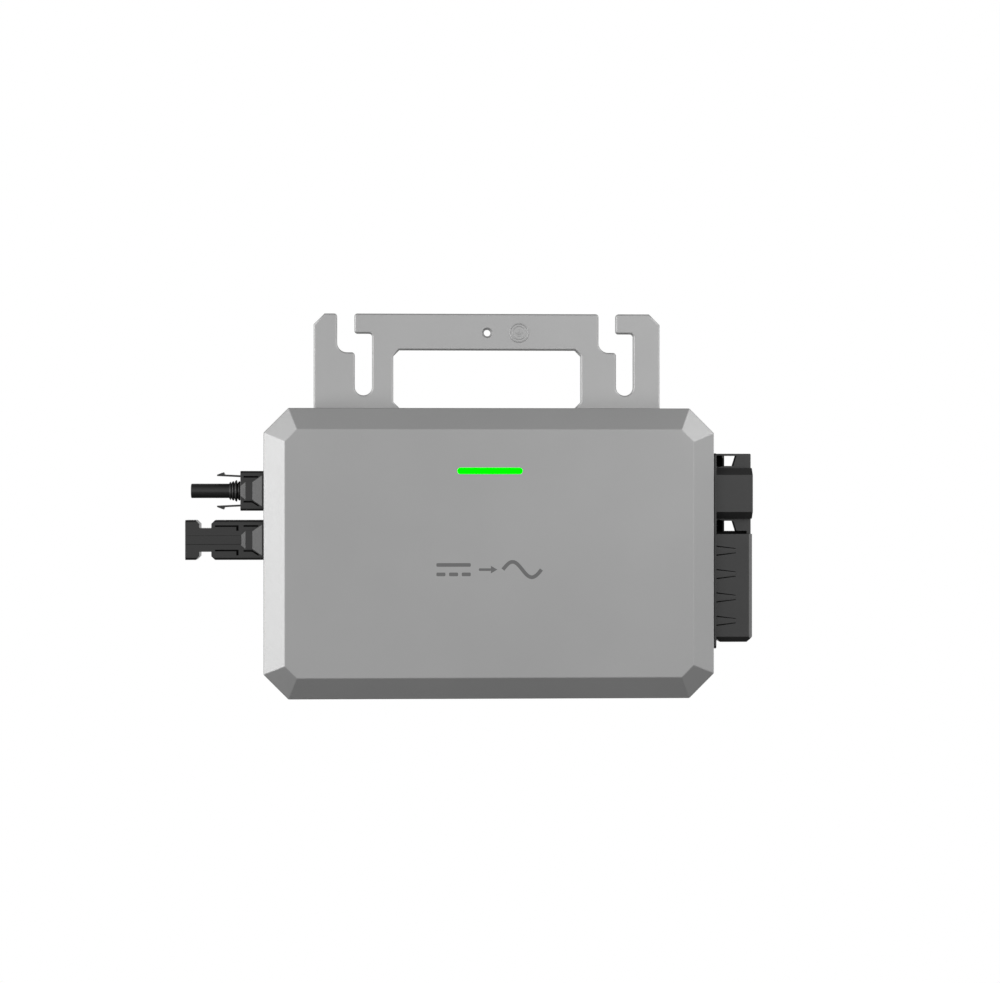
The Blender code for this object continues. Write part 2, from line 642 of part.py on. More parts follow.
# ---- board and what is on it ----------------------------------------------------------------
def build_board():
    holes = []
    for x, z in standoff_places():
        holes.append(arc((x, z), BOARD_SCREW_RADIUS + GAP, 0, 345, 23))
    outline = rectangle(-BOARD_HALF_WIDTH, BOARD_HALF_WIDTH, -BOARD_HALF_HEIGHT, BOARD_HALF_HEIGHT)
    prism("main_board", outline, "Y", BOARD_FRONT_Y, BOARD_REAR_Y, GREEN_BOARD, holes=holes)
    for number, (x, z) in enumerate(standoff_places(), 1):
        top = BOARD_FRONT_Y - GAP - BOARD_HEAD_HEIGHT
        reach = BOARD_STANDOFF + BOARD_THICK - GAP
        screw(f"board_screw_{number}", (x, top, z), "+Y", BOARD_HEAD_RADIUS, BOARD_HEAD_HEIGHT,
              BOARD_SCREW_RADIUS, reach)
    holes = []
    for x, z in standoff_places():
        holes.append(arc((x, z), STANDOFF_RADIUS + GAP, 0, 345, 23))
    width = BOARD_HALF_WIDTH - POTTING_MARGIN
    height = BOARD_HALF_HEIGHT - POTTING_MARGIN
    outline = rectangle(-width, width, -height, height)
    prism("potting_layer", outline, "Y", BOARD_REAR_Y + GAP, PLATE_FRONT_Y - GAP, POTTING, holes=holes)


def on_board(name, x, z, width, height, rise, look, edge=0.0):
    """Box standing on the board's front side, centred at x, z."""
    low = (x - width / 2, PARTS_Y - rise, z - height / 2)
    high = (x + width / 2, PARTS_Y, z + height / 2)
    obj = block(name, low, high, look)
    if edge > 0:
        chamfer(obj, edge)
    return obj


def wound_part(name, x, z, width, height, rise):
    """Two E-shaped ferrite halves that meet across a gap, and the winding round their middle legs."""
    leg = width * 0.16
    middle_leg = width * 0.14
    web = rise * 0.22
    seam = PARTS_Y - rise / 2
    halves = ((f"{name}_core_rear", PARTS_Y, seam + GAP / 2),
              (f"{name}_core_front", PARTS_Y - rise, seam - GAP / 2))
    for label, back, tip in halves:
        inner = back + web * (1 if tip > back else -1)
        low_y, high_y = sorted((back, inner))
        core = block(label, (x - width / 2, low_y, z - height / 2), (x + width / 2, high_y, z + height / 2),
                     FERRITE)
        low_y, high_y = sorted((back, tip))
        for side, centre, half in (("left", -width / 2 + leg / 2, leg / 2), ("middle", 0, middle_leg),
                                   ("right", width / 2 - leg / 2, leg / 2)):
            post = block(f"{label}_{side}", (x + centre - half, low_y, z - height / 2),
                         (x + centre + half, high_y, z + height / 2))
            fuse(core, post)
    room = GAP * 1.5
    inner_half = middle_leg + room
    outer_half = width / 2 - leg - room
    reach = outer_half - inner_half
    outer = rectangle(x - outer_half, x + outer_half, z - height / 2 - reach, z + height / 2 + reach,
                      reach * 0.6)
    inner = rectangle(x - inner_half, x + inner_half, z - height / 2 - room, z + height / 2 + room)
    prism(f"{name}_winding", outer, "Y", PARTS_Y - rise + web + room, PARTS_Y - web - room, COPPER,
          holes=[inner])


def capacitor_can(name, x, z, radius, height):
    crimp = 2.5 * MM
    profile = [(0, height), (radius * 0.9, height), (radius, height - radius * 0.1),
               (radius, crimp + 1.0 * MM), (radius * 0.93, crimp), (radius, crimp - 1.0 * MM), (radius, 0),
               (0, 0)]
    turned(name, (x, PARTS_Y, z), profile, "-Y", CAN)


def build_components():
    """Rows are placed from the board's top and bottom edges, so that they keep clear of its screws."""
    left = -BOARD_HALF_WIDTH
    right = BOARD_HALF_WIDTH
    top = BOARD_HALF_HEIGHT
    bottom = -BOARD_HALF_HEIGHT
    for number in range(3):
        capacitor_can(f"dc_capacitor_{number + 1}", left + (20 + 19 * number) * MM, bottom + 20 * MM,
                      8.2 * MM, 19.0 * MM)
        on_board(f"power_transistor_{number + 1}", left + (24 + 16 * number) * MM, 3 * MM, 10 * MM, 15 * MM,
                 4.5 * MM, CHIP, 0.4 * MM)
    wound_part("transformer", -4 * MM, -4 * MM, 40 * MM, 22 * MM, 19 * MM)
    wound_part("filter_choke", 38 * MM, bottom + 30 * MM, 28 * MM, 14 * MM, 16 * MM)
    on_board("film_capacitor", 34 * MM, top - 30 * MM, 20 * MM, 9 * MM, 15 * MM, YELLOW_FILM, 0.8 * MM)
    for number in range(2):
        on_board(f"relay_{number + 1}", right - 27 * MM, top - (26 + 21 * number) * MM, 14 * MM, 17 * MM,
                 16 * MM, RELAY_CASE, 0.5 * MM)
    disc_radius = 7.0 * MM
    disc_place = (right - 14 * MM, PARTS_Y - disc_radius - GAP, bottom + 20 * MM)
    rod("varistor", disc_place, 4.5 * MM, disc_radius, "+X", BLUE_DISC)
    fuse_radius = 3.0 * MM
    fuse_length = 22.0 * MM
    cap_length = 5.0 * MM
    glass_radius = fuse_radius * 0.86
    profile = [(0, fuse_length), (fuse_radius, fuse_length), (fuse_radius, fuse_length - cap_length),
               (glass_radius, fuse_length - cap_length), (glass_radius, cap_length),
               (fuse_radius, cap_length), (fuse_radius, 0), (0, 0)]
    turned("fuse", (right - 39 * MM, PARTS_Y - fuse_radius - GAP, bottom + 10 * MM), profile, "+X", CERAMIC,
           steps=16)
    on_board("control_chip", left + 32 * MM, top - 17 * MM, 14 * MM, 14 * MM, 1.8 * MM, CHIP)
    on_board("wireless_module", left + 62 * MM, top - 12 * MM, 24 * MM, 16 * MM, 3.0 * MM, TINNED, 0.4 * MM)


# ---- DC connectors --------------------------------------------------------------------------
def dc_neck(name, z):
    """Threaded neck through the wall, rooted inside the connector's block."""
    root = 3 * DC_SEAL_THICK
    return rod(name, (LEFT_X - root, DC_Y, z), root + DC_NECK_LENGTH, DC_NECK_RADIUS, "+X")


def dc_core(name, z):
    """Stepped core that flares towards the wall: half depth and half height at each place along X."""
    depth = DC_BLOCK_DEPTH / 2
    left = LEFT_X - PLUG_BLOCK_LENGTH
    wall = LEFT_X - GAP
    first = depth + DC_CORE_STEP
    second = first + 1.75 * DC_CORE_STEP
    rings = [(left + GAP / 2, depth - GAP, DC_CORE_HALF / 2), (left + 2.5 * MM, first, DC_CORE_HALF),
             (left + 5.7 * MM, first, DC_CORE_HALF), (wall - GAP, second, DC_CORE_FOOT),
             (wall, second, DC_CORE_FOOT)]
    corners = []
    for x, half_y, half_z in rings:
        for side_y, side_z in ((-1, -1), (-1, 1), (1, 1), (1, -1)):
            corners.append((x, DC_Y + side_y * half_y, z + side_z * half_z))
    faces = [(0, 1, 2, 3)]
    for start in range(0, 4 * (len(rings) - 1), 4):
        for side in range(4):
            after = (side + 1) % 4
            faces.append((start + side, start + 4 + side, start + 4 + after, start + after))
    last = 4 * (len(rings) - 1)
    faces.append((last + 3, last + 2, last + 1, last))
    mesh = bpy.data.meshes.new(name)
    mesh.from_pydata(corners, [], faces)
    return add_object(name, mesh, None)


def seal_pocket(name, z):
    """Round relief in the block's rear face for the ring seal."""
    depth = DC_SEAL_THICK + 2 * GAP
    start = (LEFT_X - depth, DC_Y, z)
    return rod(name, start, depth + GAP, DC_SEAL_RADIUS + GAP, "+X")


def dc_wall_fittings(prefix, z):
    """Ring seal outside the wall and hexagon nut inside it."""
    inner = DC_NECK_RADIUS + GAP
    profile = [(DC_SEAL_RADIUS, DC_SEAL_THICK + GAP), (DC_SEAL_RADIUS, GAP), (inner, GAP),
               (inner, DC_SEAL_THICK + GAP)]
    turned(f"{prefix}_wall_seal", (LEFT_X, DC_Y, z), profile, "-X", BLACK_RUBBER)
    nut_x = LEFT_X + WALL + GAP
    outline = arc((DC_Y, z), DC_NUT_RADIUS, 30, 330, 5)
    hole = arc((DC_Y, z), DC_NECK_RADIUS + GAP, 0, 345, 23)
    prism(f"{prefix}_nut", outline, "X", nut_x, nut_x + DC_NUT_THICK, BLACK_PLASTIC, holes=[hole])


def build_dc_plug():
    block_left = LEFT_X - PLUG_BLOCK_LENGTH
    half = DC_BLOCK / 2
    depth = DC_BLOCK_DEPTH / 2
    body = block("dc_plug_body", (block_left, DC_Y - depth, PLUG_Z - half),
                 (LEFT_X - GAP, DC_Y + depth, PLUG_Z + half), BLACK_PLASTIC)
    chamfer(body, 0.8 * MM)
    fuse(body, dc_core("plug_core", PLUG_Z))
    cut(body, seal_pocket("plug_seal_pocket", PLUG_Z))
    collar = SEAL_START + SEAL_LENGTH + GAP
    base_radius = SEAL_RIB_RADIUS - 0.6 * MM
    profile = [(0, PLUG_NOSE_LENGTH), (PLUG_NOSE_RADIUS - 0.3 * MM, PLUG_NOSE_LENGTH),
               (PLUG_NOSE_RADIUS, PLUG_NOSE_LENGTH - 0.3 * MM), (PLUG_NOSE_RADIUS, collar + 1.2 * MM),
               (base_radius - 0.3 * MM, collar), (PLUG_NOSE_RADIUS, collar),
               (PLUG_NOSE_RADIUS, PLUG_BLOCK_LENGTH - GAP), (0, PLUG_BLOCK_LENGTH - GAP)]
    nose = turned("plug_nose", (LEFT_X, DC_Y, PLUG_Z), profile, "-X")
    fuse(body, nose, dc_neck("plug_neck", PLUG_Z))
    bore_length = PLUG_NOSE_LENGTH + DC_NECK_LENGTH + 4 * GAP
    bore_start = (LEFT_X - PLUG_NOSE_LENGTH - 2 * GAP, DC_Y, PLUG_Z)
    cut(body, rod("plug_bore", bore_start, bore_length, PLUG_BORE_RADIUS, "+X"))
    contact_length = PLUG_NOSE_LENGTH + DC_NECK_LENGTH - 1.0 * MM
    start = LEFT_X - PLUG_NOSE_LENGTH + 1.5 * MM
    bore_depth = PLUG_NOSE_LENGTH * 0.6
    profile = [(CONTACT_RADIUS, contact_length), (CONTACT_RADIUS, 0), (0, 0),
               (0, contact_length - bore_depth), (CONTACT_BORE_RADIUS, contact_length - bore_depth),
               (CONTACT_BORE_RADIUS, contact_length)]
    turned("dc_plug_contact", (start + contact_length, DC_Y, PLUG_Z), profile, "-X", TINNED)
    build_plug_seal()
    dc_wall_fittings("dc_plug", PLUG_Z)
    for name, side in (("latch_arm_upper", 1), ("latch_arm_lower", -1)):
        build_latch_arm(name, side)


def build_plug_seal():
    """Ribbed ring seal on the nose, middle rib the largest."""
    low = SEAL_START
    step = SEAL_LENGTH / 8
    valley = SEAL_RIB_RADIUS - 1.1 * MM
    small = SEAL_RIB_RADIUS - 0.6 * MM
    inner = PLUG_NOSE_RADIUS + GAP
    radii = [valley, small, small, valley, SEAL_RIB_RADIUS, valley, small, small, valley]
    outer = [(radius, low + step * number) for number, radius in reversed(list(enumerate(radii)))]
    profile = outer + [(inner, low), (inner, low + SEAL_LENGTH)]
    turned("dc_plug_seal", (LEFT_X, DC_Y, PLUG_Z), profile, "-X", BLACK_RUBBER)


def build_latch_arm(name, side):
    """Flexible arm with a barb near its tip; its origin is the line that it bends about."""
    root = 0.0
    tip = -LATCH_LENGTH
    half = LATCH_THICK / 2
    barb = tip + BARB_LENGTH
    peak = barb - BARB_HEIGHT / 2
    outline = [(root, -half), (root, half), (barb, half), (peak, half + BARB_HEIGHT), (tip, half / 2),
               (tip, -half)]
    outline = [(x, side * (z - LATCH_LEAN * x / LATCH_LENGTH)) for x, z in outline]
    if side > 0:
        outline.reverse()
    arm = prism(name, outline, "Y", -LATCH_WIDTH / 2, LATCH_WIDTH / 2, BLACK_PLASTIC)
    place = (LEFT_X - PLUG_BLOCK_LENGTH - GAP, DC_Y, PLUG_Z + side * LATCH_HEIGHT)
    arm.matrix_world = Matrix.Translation(place) @ arm.matrix_world


def build_dc_socket():
    half = DC_BLOCK / 2
    depth = DC_BLOCK_DEPTH / 2
    mouth = LEFT_X - SOCKET_LENGTH
    right = LEFT_X - GAP
    head = mouth + SOCKET_HEAD_LENGTH
    notch = mouth + SOCKET_NOTCH_START
    notch_end = notch + SOCKET_NOTCH_LENGTH
    shoulder = notch_end + 2.0 * MM
    upper = [(right, half), (shoulder, half), (notch_end, half - SOCKET_CHAMFER),
             (notch_end, SOCKET_BARREL_HALF), (notch, SOCKET_BARREL_HALF), (notch, half - SOCKET_CHAMFER),
             (head, half),
             (mouth + 0.6 * MM, half), (mouth, half - 0.6 * MM)]
    lower = [(x, -z) for x, z in reversed(upper)]
    outline = [(x, SOCKET_Z + z) for x, z in upper + lower]
    body = prism("dc_socket_body", outline, "Y", DC_Y - depth, DC_Y + depth, BLACK_PLASTIC)
    ridge_half = SOCKET_RIDGE / 2
    ridge_depth = depth + SOCKET_RIDGE_RISE
    ridge = block("socket_ridge", (mouth + GAP, DC_Y - ridge_depth, SOCKET_Z - ridge_half),
                  (LEFT_X - PLUG_BLOCK_LENGTH - 1.0 * MM, DC_Y + ridge_depth, SOCKET_Z + ridge_half))
    fuse(body, ridge, dc_core("socket_core", SOCKET_Z))
    cut(body, seal_pocket("socket_seal_pocket", SOCKET_Z))
    fuse(body, dc_neck("socket_neck", SOCKET_Z))
    pin_length = SOCKET_LENGTH + DC_NECK_LENGTH - PIN_SETBACK
    narrow = PIN_RADIUS + 1.0 * MM
    total = SOCKET_LENGTH + DC_NECK_LENGTH + 4 * GAP
    profile = [(0, total), (SOCKET_BORE_RADIUS, total), (SOCKET_BORE_RADIUS, total - SOCKET_BORE_DEPTH),
               (narrow, total - SOCKET_BORE_DEPTH), (narrow, 0), (0, 0)]
    bore_foot = (LEFT_X + DC_NECK_LENGTH + 2 * GAP, DC_Y, SOCKET_Z)
    cut(body, turned("socket_bore", bore_foot, profile, "-X"))
    collar = narrow - GAP
    bare = SOCKET_BORE_DEPTH - PIN_SETBACK
    profile = [(0, pin_length), (PIN_RADIUS * 0.6, pin_length), (PIN_RADIUS, pin_length - 1.2 * MM),
               (PIN_RADIUS, pin_length - bare), (collar, pin_length - bare), (collar, 0), (0, 0)]
    turned("dc_socket_contact", (LEFT_X + DC_NECK_LENGTH, DC_Y, SOCKET_Z), profile, "-X", TINNED)
    dc_wall_fittings("dc_socket", SOCKET_Z)


# ---- AC receptacle --------------------------------------------------------------------------
def ac_neck(name, low, high, margin=0.0):
    half = AC_NECK_HEIGHT / 2 + margin
    depth = AC_NECK_DEPTH / 2 + margin
    return block(name, (low, AC_Y - depth, BARREL_Z - half), (high, AC_Y + depth, BARREL_Z + half))


def ac_screw_heights():
    first = AC_BLOCK_TOP - AC_SCREW_INSET
    return [first, first - AC_SCREW_PITCH]


def barrel_outline(shrink=0.0):
    half_y = AC_DEPTH / 2 - shrink
    half_z = AC_BARREL_HEIGHT / 2 - shrink
    corner = AC_BARREL_CHAMFER - shrink * (2 - math.sqrt(2))
    return rectangle(AC_Y - half_y, AC_Y + half_y, BARREL_Z - half_z, BARREL_Z + half_z, corner)


def flange_outline(inset, corner=0.0):
    half_y = AC_DEPTH / 2 + AC_FLANGE_MARGIN - inset
    bottom = AC_TOP - AC_FLANGE_HEIGHT
    return rectangle(AC_Y - half_y, AC_Y + half_y, bottom + inset, AC_TOP - inset, corner)


def window_cutter(name, side):
    """Latch window in the web above or below the barrel, wider away from the barrel."""
    near = BARREL_Z + side * (AC_BARREL_HEIGHT / 2 + AC_WINDOW_OFFSET)
    far = near + side * AC_WINDOW_HEIGHT
    left = RIGHT_X + AC_WINDOW_START
    outline = [(left, near), (left + AC_WINDOW_SHORT, near), (left + AC_WINDOW_LONG, far), (left, far)]
    if side < 0:
        outline.reverse()
    return prism(name, outline, "Y", AC_Y - AC_WEB_THICK, AC_Y + AC_WEB_THICK)


def build_ac_receptacle():
    half_depth = AC_DEPTH / 2
    edge_x = RIGHT_X + GAP + AC_FLANGE_EDGE
    body = prism("ac_receptacle", flange_outline(0, AC_FLANGE_MARGIN), "X", RIGHT_X + GAP, edge_x,
                 BLACK_PLASTIC)
    fuse(body, prism("ac_flange_step", flange_outline(AC_FLANGE_MARGIN), "X", edge_x - GAP, AC_FACE_X))
    root = AC_FACE_X - AC_FLANGE_THICK / 2
    barrel = prism("ac_barrel", barrel_outline(), "X", root, RIGHT_X + AC_REACH)
    web_bottom = AC_BLOCK_TOP - GAP
    web = block("ac_web", (root, AC_Y - AC_WEB_THICK / 2, web_bottom),
                (RIGHT_X + AC_WEB_REACH, AC_Y + AC_WEB_THICK / 2, AC_TOP))
    lower = ac_lower_block(root)
    fuse(body, web, barrel, lower, ac_neck("ac_neck", RIGHT_X - AC_NECK_LENGTH, root))
    for number in range(AC_RIB_COUNT):
        centre = AC_BLOCK_TOP - AC_RIB_DROP - AC_RIB_PITCH * number
        fuse(body, ac_rib(f"ac_rib_{number + 1}", centre))
    cut(body, window_cutter("ac_window_upper", 1), window_cutter("ac_window_lower", -1))
    cavity_floor = RIGHT_X + AC_REACH - AC_CAVITY_DEPTH
    cut(body, prism("ac_cavity", barrel_outline(AC_WALL), "X", cavity_floor, RIGHT_X + AC_REACH + GAP))
    pocket_middle = (AC_BLOCK_TOP + AC_BLOCK_BOTTOM) / 2
    pocket_half = AC_POCKET_HEIGHT / 2
    pocket_depth = half_depth - AC_WALL
    pocket = block("ac_pocket", (RIGHT_X + AC_BLOCK_REACH - AC_POCKET_DEPTH, AC_Y - pocket_depth,
                                 pocket_middle - pocket_half),
                   (RIGHT_X + AC_BLOCK_REACH + GAP, AC_Y + pocket_depth, pocket_middle + pocket_half))
    cut(body, pocket)
    for number, z in enumerate(ac_pin_heights(), 1):
        start = (RIGHT_X - AC_NECK_LENGTH - GAP, AC_Y, z)
        hole_length = AC_NECK_LENGTH + AC_REACH
        cut(body, rod(f"ac_pin_hole_{number}", start, hole_length, AC_PIN_RADIUS + GAP, "+X", sides=16))
    for number, z in enumerate(ac_screw_heights(), 1):
        start = (RIGHT_X - GAP, AC_Y, z)
        bore_radius = BOARD_SCREW_RADIUS + GAP
        bore_length = AC_SCREW_LENGTH - BOARD_HEAD_HEIGHT - WALL + GAP
        cut(body, rod(f"ac_screw_bore_{number}", start, bore_length, bore_radius, "+X", sides=16))
    gasket_top = RIGHT_X + GAP + AC_GASKET_THICK
    near = AC_GASKET_INSET
    far = AC_GASKET_INSET + AC_GASKET_WIDTH
    groove = prism("ac_gasket_groove", flange_outline(near - GAP), "X", RIGHT_X, gasket_top + GAP,
                   holes=[flange_outline(far + GAP)])
    cut(body, groove)
    prism("ac_flange_gasket", flange_outline(near), "X", RIGHT_X + GAP, gasket_top, BLACK_RUBBER,
          holes=[flange_outline(far)])


def ac_lower_block(root):
    """Ribbed lower block: its long front and rear edges and its end are chamfered."""
    half_depth = AC_DEPTH / 2
    right = RIGHT_X + AC_BLOCK_REACH
    edge = AC_BLOCK_CHAMFER
    outline = [(root, AC_BLOCK_BOTTOM), (right - edge, AC_BLOCK_BOTTOM), (right, AC_BLOCK_BOTTOM + edge),
               (right, AC_BLOCK_TOP), (root, AC_BLOCK_TOP)]
    lower = prism("ac_lower_block", outline, "Y", AC_Y - half_depth, AC_Y + half_depth)
    return lower


def ac_rib(name, centre):
    """Flat tapering rib on the front of the lower block, narrow end outwards."""
    left = AC_FACE_X - GAP
    right = left + AC_RIB_LENGTH
    root = AC_RIB_ROOT / 2
    tip = AC_RIB_TIP / 2
    outline = [(left, centre - root), (right, centre - tip), (right, centre + tip), (left, centre + root)]
    front = AC_Y - AC_DEPTH / 2
    return prism(name, outline, "Y", front - AC_RIB_RISE, front + AC_RIB_RISE)


def ac_pin_heights():
    return [BARREL_Z + AC_PIN_PITCH, BARREL_Z, BARREL_Z - AC_PIN_PITCH]


def build_ac_contacts():
    floor = RIGHT_X + AC_REACH - AC_CAVITY_DEPTH + GAP
    holes = [arc((AC_Y, z), AC_PIN_RADIUS + GAP, 0, 337.5, 15) for z in ac_pin_heights()]
    prism("ac_contact_insert", barrel_outline(AC_WALL + GAP), "X", floor, floor + AC_INSERT_LENGTH,
          BLACK_RUBBER, holes=holes)
    start_x = RIGHT_X - AC_NECK_LENGTH - 1.0 * MM
    length = AC_NECK_LENGTH + AC_REACH + 1.0 * MM - AC_PIN_SETBACK
    tip = AC_PIN_RADIUS * 0.6
    profile = [(0, length), (tip, length), (AC_PIN_RADIUS, length - 1.0 * MM), (AC_PIN_RADIUS, 0), (0, 0)]
    for label, z in zip(("line", "neutral", "earth"), ac_pin_heights()):
        turned(f"ac_pin_{label}", (start_x, AC_Y, z), profile, "+X", TINNED, steps=16)
    for number, z in enumerate(ac_screw_heights(), 1):
        head = (RIGHT_X - WALL - GAP - BOARD_HEAD_HEIGHT, AC_Y, z)
        screw(f"ac_receptacle_screw_{number}", head, "+X", BOARD_HEAD_RADIUS, BOARD_HEAD_HEIGHT,
              BOARD_SCREW_RADIUS, AC_SCREW_LENGTH - BOARD_HEAD_HEIGHT)


# ---- leads inside the housing ---------------------------------------------------------------
def lead(name, points, look):
    """Insulated wire along a smooth line through the given points."""
    line = smooth_line([Vector(point) for point in points], 4)
    curve = bpy.data.curves.new(name, "CURVE")
    curve.dimensions = "3D"
    curve.bevel_depth = LEAD_RADIUS
    curve.bevel_resolution = 2
    curve.use_fill_caps = True
    spline = curve.splines.new("POLY")
    spline.points.add(len(line) - 1)
    for point, place in zip(spline.points, line):
        point.co = (*place, 1.0)
    curve.materials.append(material(look))
    obj = bpy.data.objects.new(name, curve)
    PARTS.objects.link(obj)
    return obj


def smooth_line(points, steps):
    """Catmull-Rom line through the points."""
    padded = [points[0] * 2 - points[1], *points, points[-1] * 2 - points[-2]]
    line = []
    for before, first, second, after in zip(padded, padded[1:], padded[2:], padded[3:]):
        for step in range(steps):
            t = step / steps
            line.append(0.5 * (2 * first + (second - before) * t
                               + (2 * before - 5 * first + 4 * second - after) * t ** 2
                               + (3 * first - before - 3 * second + after) * t ** 3))
    line.append(points[-1])
    return line


def build_leads():
    solder_y = PARTS_Y - GAP
    dc_leads = (("dc_positive_lead", PLUG_Z, RED_SLEEVE), ("dc_negative_lead", SOCKET_Z, BLACK_SLEEVE))
    for name, z, look in dc_leads:
        start = LEFT_X + DC_NECK_LENGTH + LEAD_RADIUS
        end = -BOARD_HALF_WIDTH + 6.0 * MM
        middle = (start + end) / 2
        lead(name, [(start, DC_Y, z), (middle, DC_Y - 0.6 * MM, z - 2.0 * MM),
                    (end - 1.0 * MM, DC_Y, z - 4.0 * MM), (end, solder_y, z - 4.5 * MM)], look)
    looks = (BROWN_SLEEVE, BLUE_SLEEVE, GREEN_SLEEVE)
    for label, z, look in zip(("line", "neutral", "earth"), ac_pin_heights(), looks):
        start = RIGHT_X - AC_NECK_LENGTH - 1.0 * MM - LEAD_RADIUS
        end = BOARD_HALF_WIDTH - 5.0 * MM
        middle = (start + end) / 2
        lead(f"ac_{label}_lead", [(start, AC_Y, z), (middle, AC_Y - 0.6 * MM, z),
                                  (end + 1.0 * MM, AC_Y + 1.0 * MM, z), (end, solder_y, z)], look)


def main():
    build_housing()
    build_rear_plate()
    build_cover_hardware()
    build_status_light()
    build_board()
    build_components()
    build_dc_plug()
    build_dc_socket()
    build_ac_receptacle()
    build_ac_contacts()
    build_leads()


main()
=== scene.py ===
# %% [markdown]
# # A panel-level solar inverter, finished for the camera
# The imported model gives the true shapes and places. Here most visible pieces are modelled again by
# hand, with rounded edges and fine surface detail, and every piece gets a procedural material.

# %% Load the imported model
import math

import bmesh
import bpy
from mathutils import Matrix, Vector


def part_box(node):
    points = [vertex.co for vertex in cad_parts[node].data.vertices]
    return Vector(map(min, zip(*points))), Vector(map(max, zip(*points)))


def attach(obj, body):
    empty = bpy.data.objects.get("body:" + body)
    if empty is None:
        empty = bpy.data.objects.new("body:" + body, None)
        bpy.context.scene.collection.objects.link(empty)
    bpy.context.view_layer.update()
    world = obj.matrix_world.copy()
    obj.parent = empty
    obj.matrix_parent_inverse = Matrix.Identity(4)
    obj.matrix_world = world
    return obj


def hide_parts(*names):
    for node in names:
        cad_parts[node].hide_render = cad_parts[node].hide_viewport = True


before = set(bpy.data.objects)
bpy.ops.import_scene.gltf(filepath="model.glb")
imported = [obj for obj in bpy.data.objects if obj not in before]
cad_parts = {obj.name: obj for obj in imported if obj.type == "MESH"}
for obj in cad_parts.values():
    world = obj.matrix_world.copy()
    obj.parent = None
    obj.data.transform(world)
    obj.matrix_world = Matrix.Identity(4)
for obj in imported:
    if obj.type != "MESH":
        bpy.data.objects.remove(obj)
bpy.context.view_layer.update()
print("packed model:", len(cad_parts), "nodes")

# %% [markdown]
# ## Units and places
# The file is in metres, and small sizes are easier to read in millimetres, so `MM` turns one into
# the other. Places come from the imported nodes' own boxes: the housing gives the body's outside, the
# connectors give their own axes.

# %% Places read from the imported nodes
MM = 0.001
body_low, body_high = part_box("front_housing")
plate_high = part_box("back_plate")[1]
plug_low, plug_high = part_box("dc_plug_body")
socket_low, socket_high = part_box("dc_socket_body")
light_low, light_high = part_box("led_light_pipe")
ac_low, ac_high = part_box("ac_receptacle")
plug_axis = (plug_low + plug_high) / 2
socket_axis = (socket_low + socket_high) / 2
light_middle = (light_low + light_high) / 2
LEFT, RIGHT = body_low.x, body_high.x
FRONT, REAR = body_low.y, body_high.y
BOTTOM, TOP = body_low.z, body_high.z
print("body, mm:", [round(size / MM, 1) for size in body_high - body_low])

# %% [markdown]
# ## Working by hand, in code
# Blender's edit operators act on what is selected. These helpers do what a person does with the
# mouse: pick one object, enter edit mode, select faces or edges by where they are, run the operator.

# %% Selecting objects, faces and edges
def pick(*objects):
    bpy.ops.object.select_all(action="DESELECT")
    for obj in objects:
        obj.select_set(True)
    bpy.context.view_layer.objects.active = objects[0]


def edit(obj, kind):
    """Edit mode with nothing selected, ready to pick vertices, edges or faces."""
    pick(obj)
    bpy.ops.object.mode_set(mode="EDIT")
    bpy.ops.mesh.select_mode(type=kind)
    bpy.ops.mesh.select_all(action="DESELECT")
    return bmesh.from_edit_mesh(obj.data)


def pick_faces(obj, test):
    """Select the faces whose centre and normal pass the test."""
    mesh = edit(obj, "FACE")
    chosen = [face for face in mesh.faces if test(face.calc_center_median(), face.normal)]
    for face in chosen:
        face.select = True
    bmesh.update_edit_mesh(obj.data)
    return len(chosen)


def pick_edges(obj, test):
    """Select the edges whose two ends pass the test and whose faces meet at an angle."""
    mesh = edit(obj, "EDGE")
    chosen = [edge for edge in mesh.edges
              if edge.calc_face_angle(0) > 0.2 and test(edge.verts[0].co, edge.verts[1].co)]
    for edge in chosen:
        edge.select = True
    bmesh.update_edit_mesh(obj.data)
    return len(chosen)


def done(obj):
    bpy.ops.object.mode_set(mode="OBJECT")
    return obj


def near(value, target, room=0.02 * MM):
    return abs(value - target) < room


# %% [markdown]
# ## Starting shapes
# A box or a disc is only the first step. `box` adds a cube at its real size. `stack` draws a turned
# or many-sided piece the way it is done by hand: a flat disc, extruded along its axis and scaled at
# each step.

# %% Boxes and stacks
def box(name, low, high):
    low, high = Vector(low), Vector(high)
    bpy.ops.mesh.primitive_cube_add(size=1.0, location=(low + high) / 2)
    obj = bpy.context.object
    obj.name = name
    obj.scale = high - low
    bpy.ops.object.transform_apply(location=True, rotation=True, scale=True)
    return obj


def stack(name, sides, axis_point, rings, turn=0.0):
    """Piece along X. Each ring is (distance from the axis point, radius)."""
    first_x, first_radius = rings[0]
    place = Vector(axis_point) + Vector((first_x, 0, 0))
    bpy.ops.mesh.primitive_circle_add(vertices=sides, radius=first_radius, fill_type="NGON",
                                      location=place, rotation=(turn, math.pi / 2, 0))
    obj = bpy.context.object
    obj.name = name
    bpy.ops.object.transform_apply(location=True, rotation=True, scale=True)
    pick(obj)
    bpy.ops.object.mode_set(mode="EDIT")
    bpy.ops.mesh.select_all(action="SELECT")
    x, radius = first_x, first_radius
    for next_x, next_radius in rings[1:]:
        bpy.ops.mesh.extrude_region_move(TRANSFORM_OT_translate={"value": (next_x - x, 0, 0)})
        if next_radius != radius:
            grow = next_radius / radius
            centre = Vector(axis_point) + Vector((next_x, 0, 0))
            bpy.ops.transform.resize(value=(1, grow, grow), center_override=centre)
        x, radius = next_x, next_radius
    bpy.ops.mesh.select_all(action="SELECT")
    bpy.ops.mesh.normals_make_consistent(inside=False)
    return done(obj)


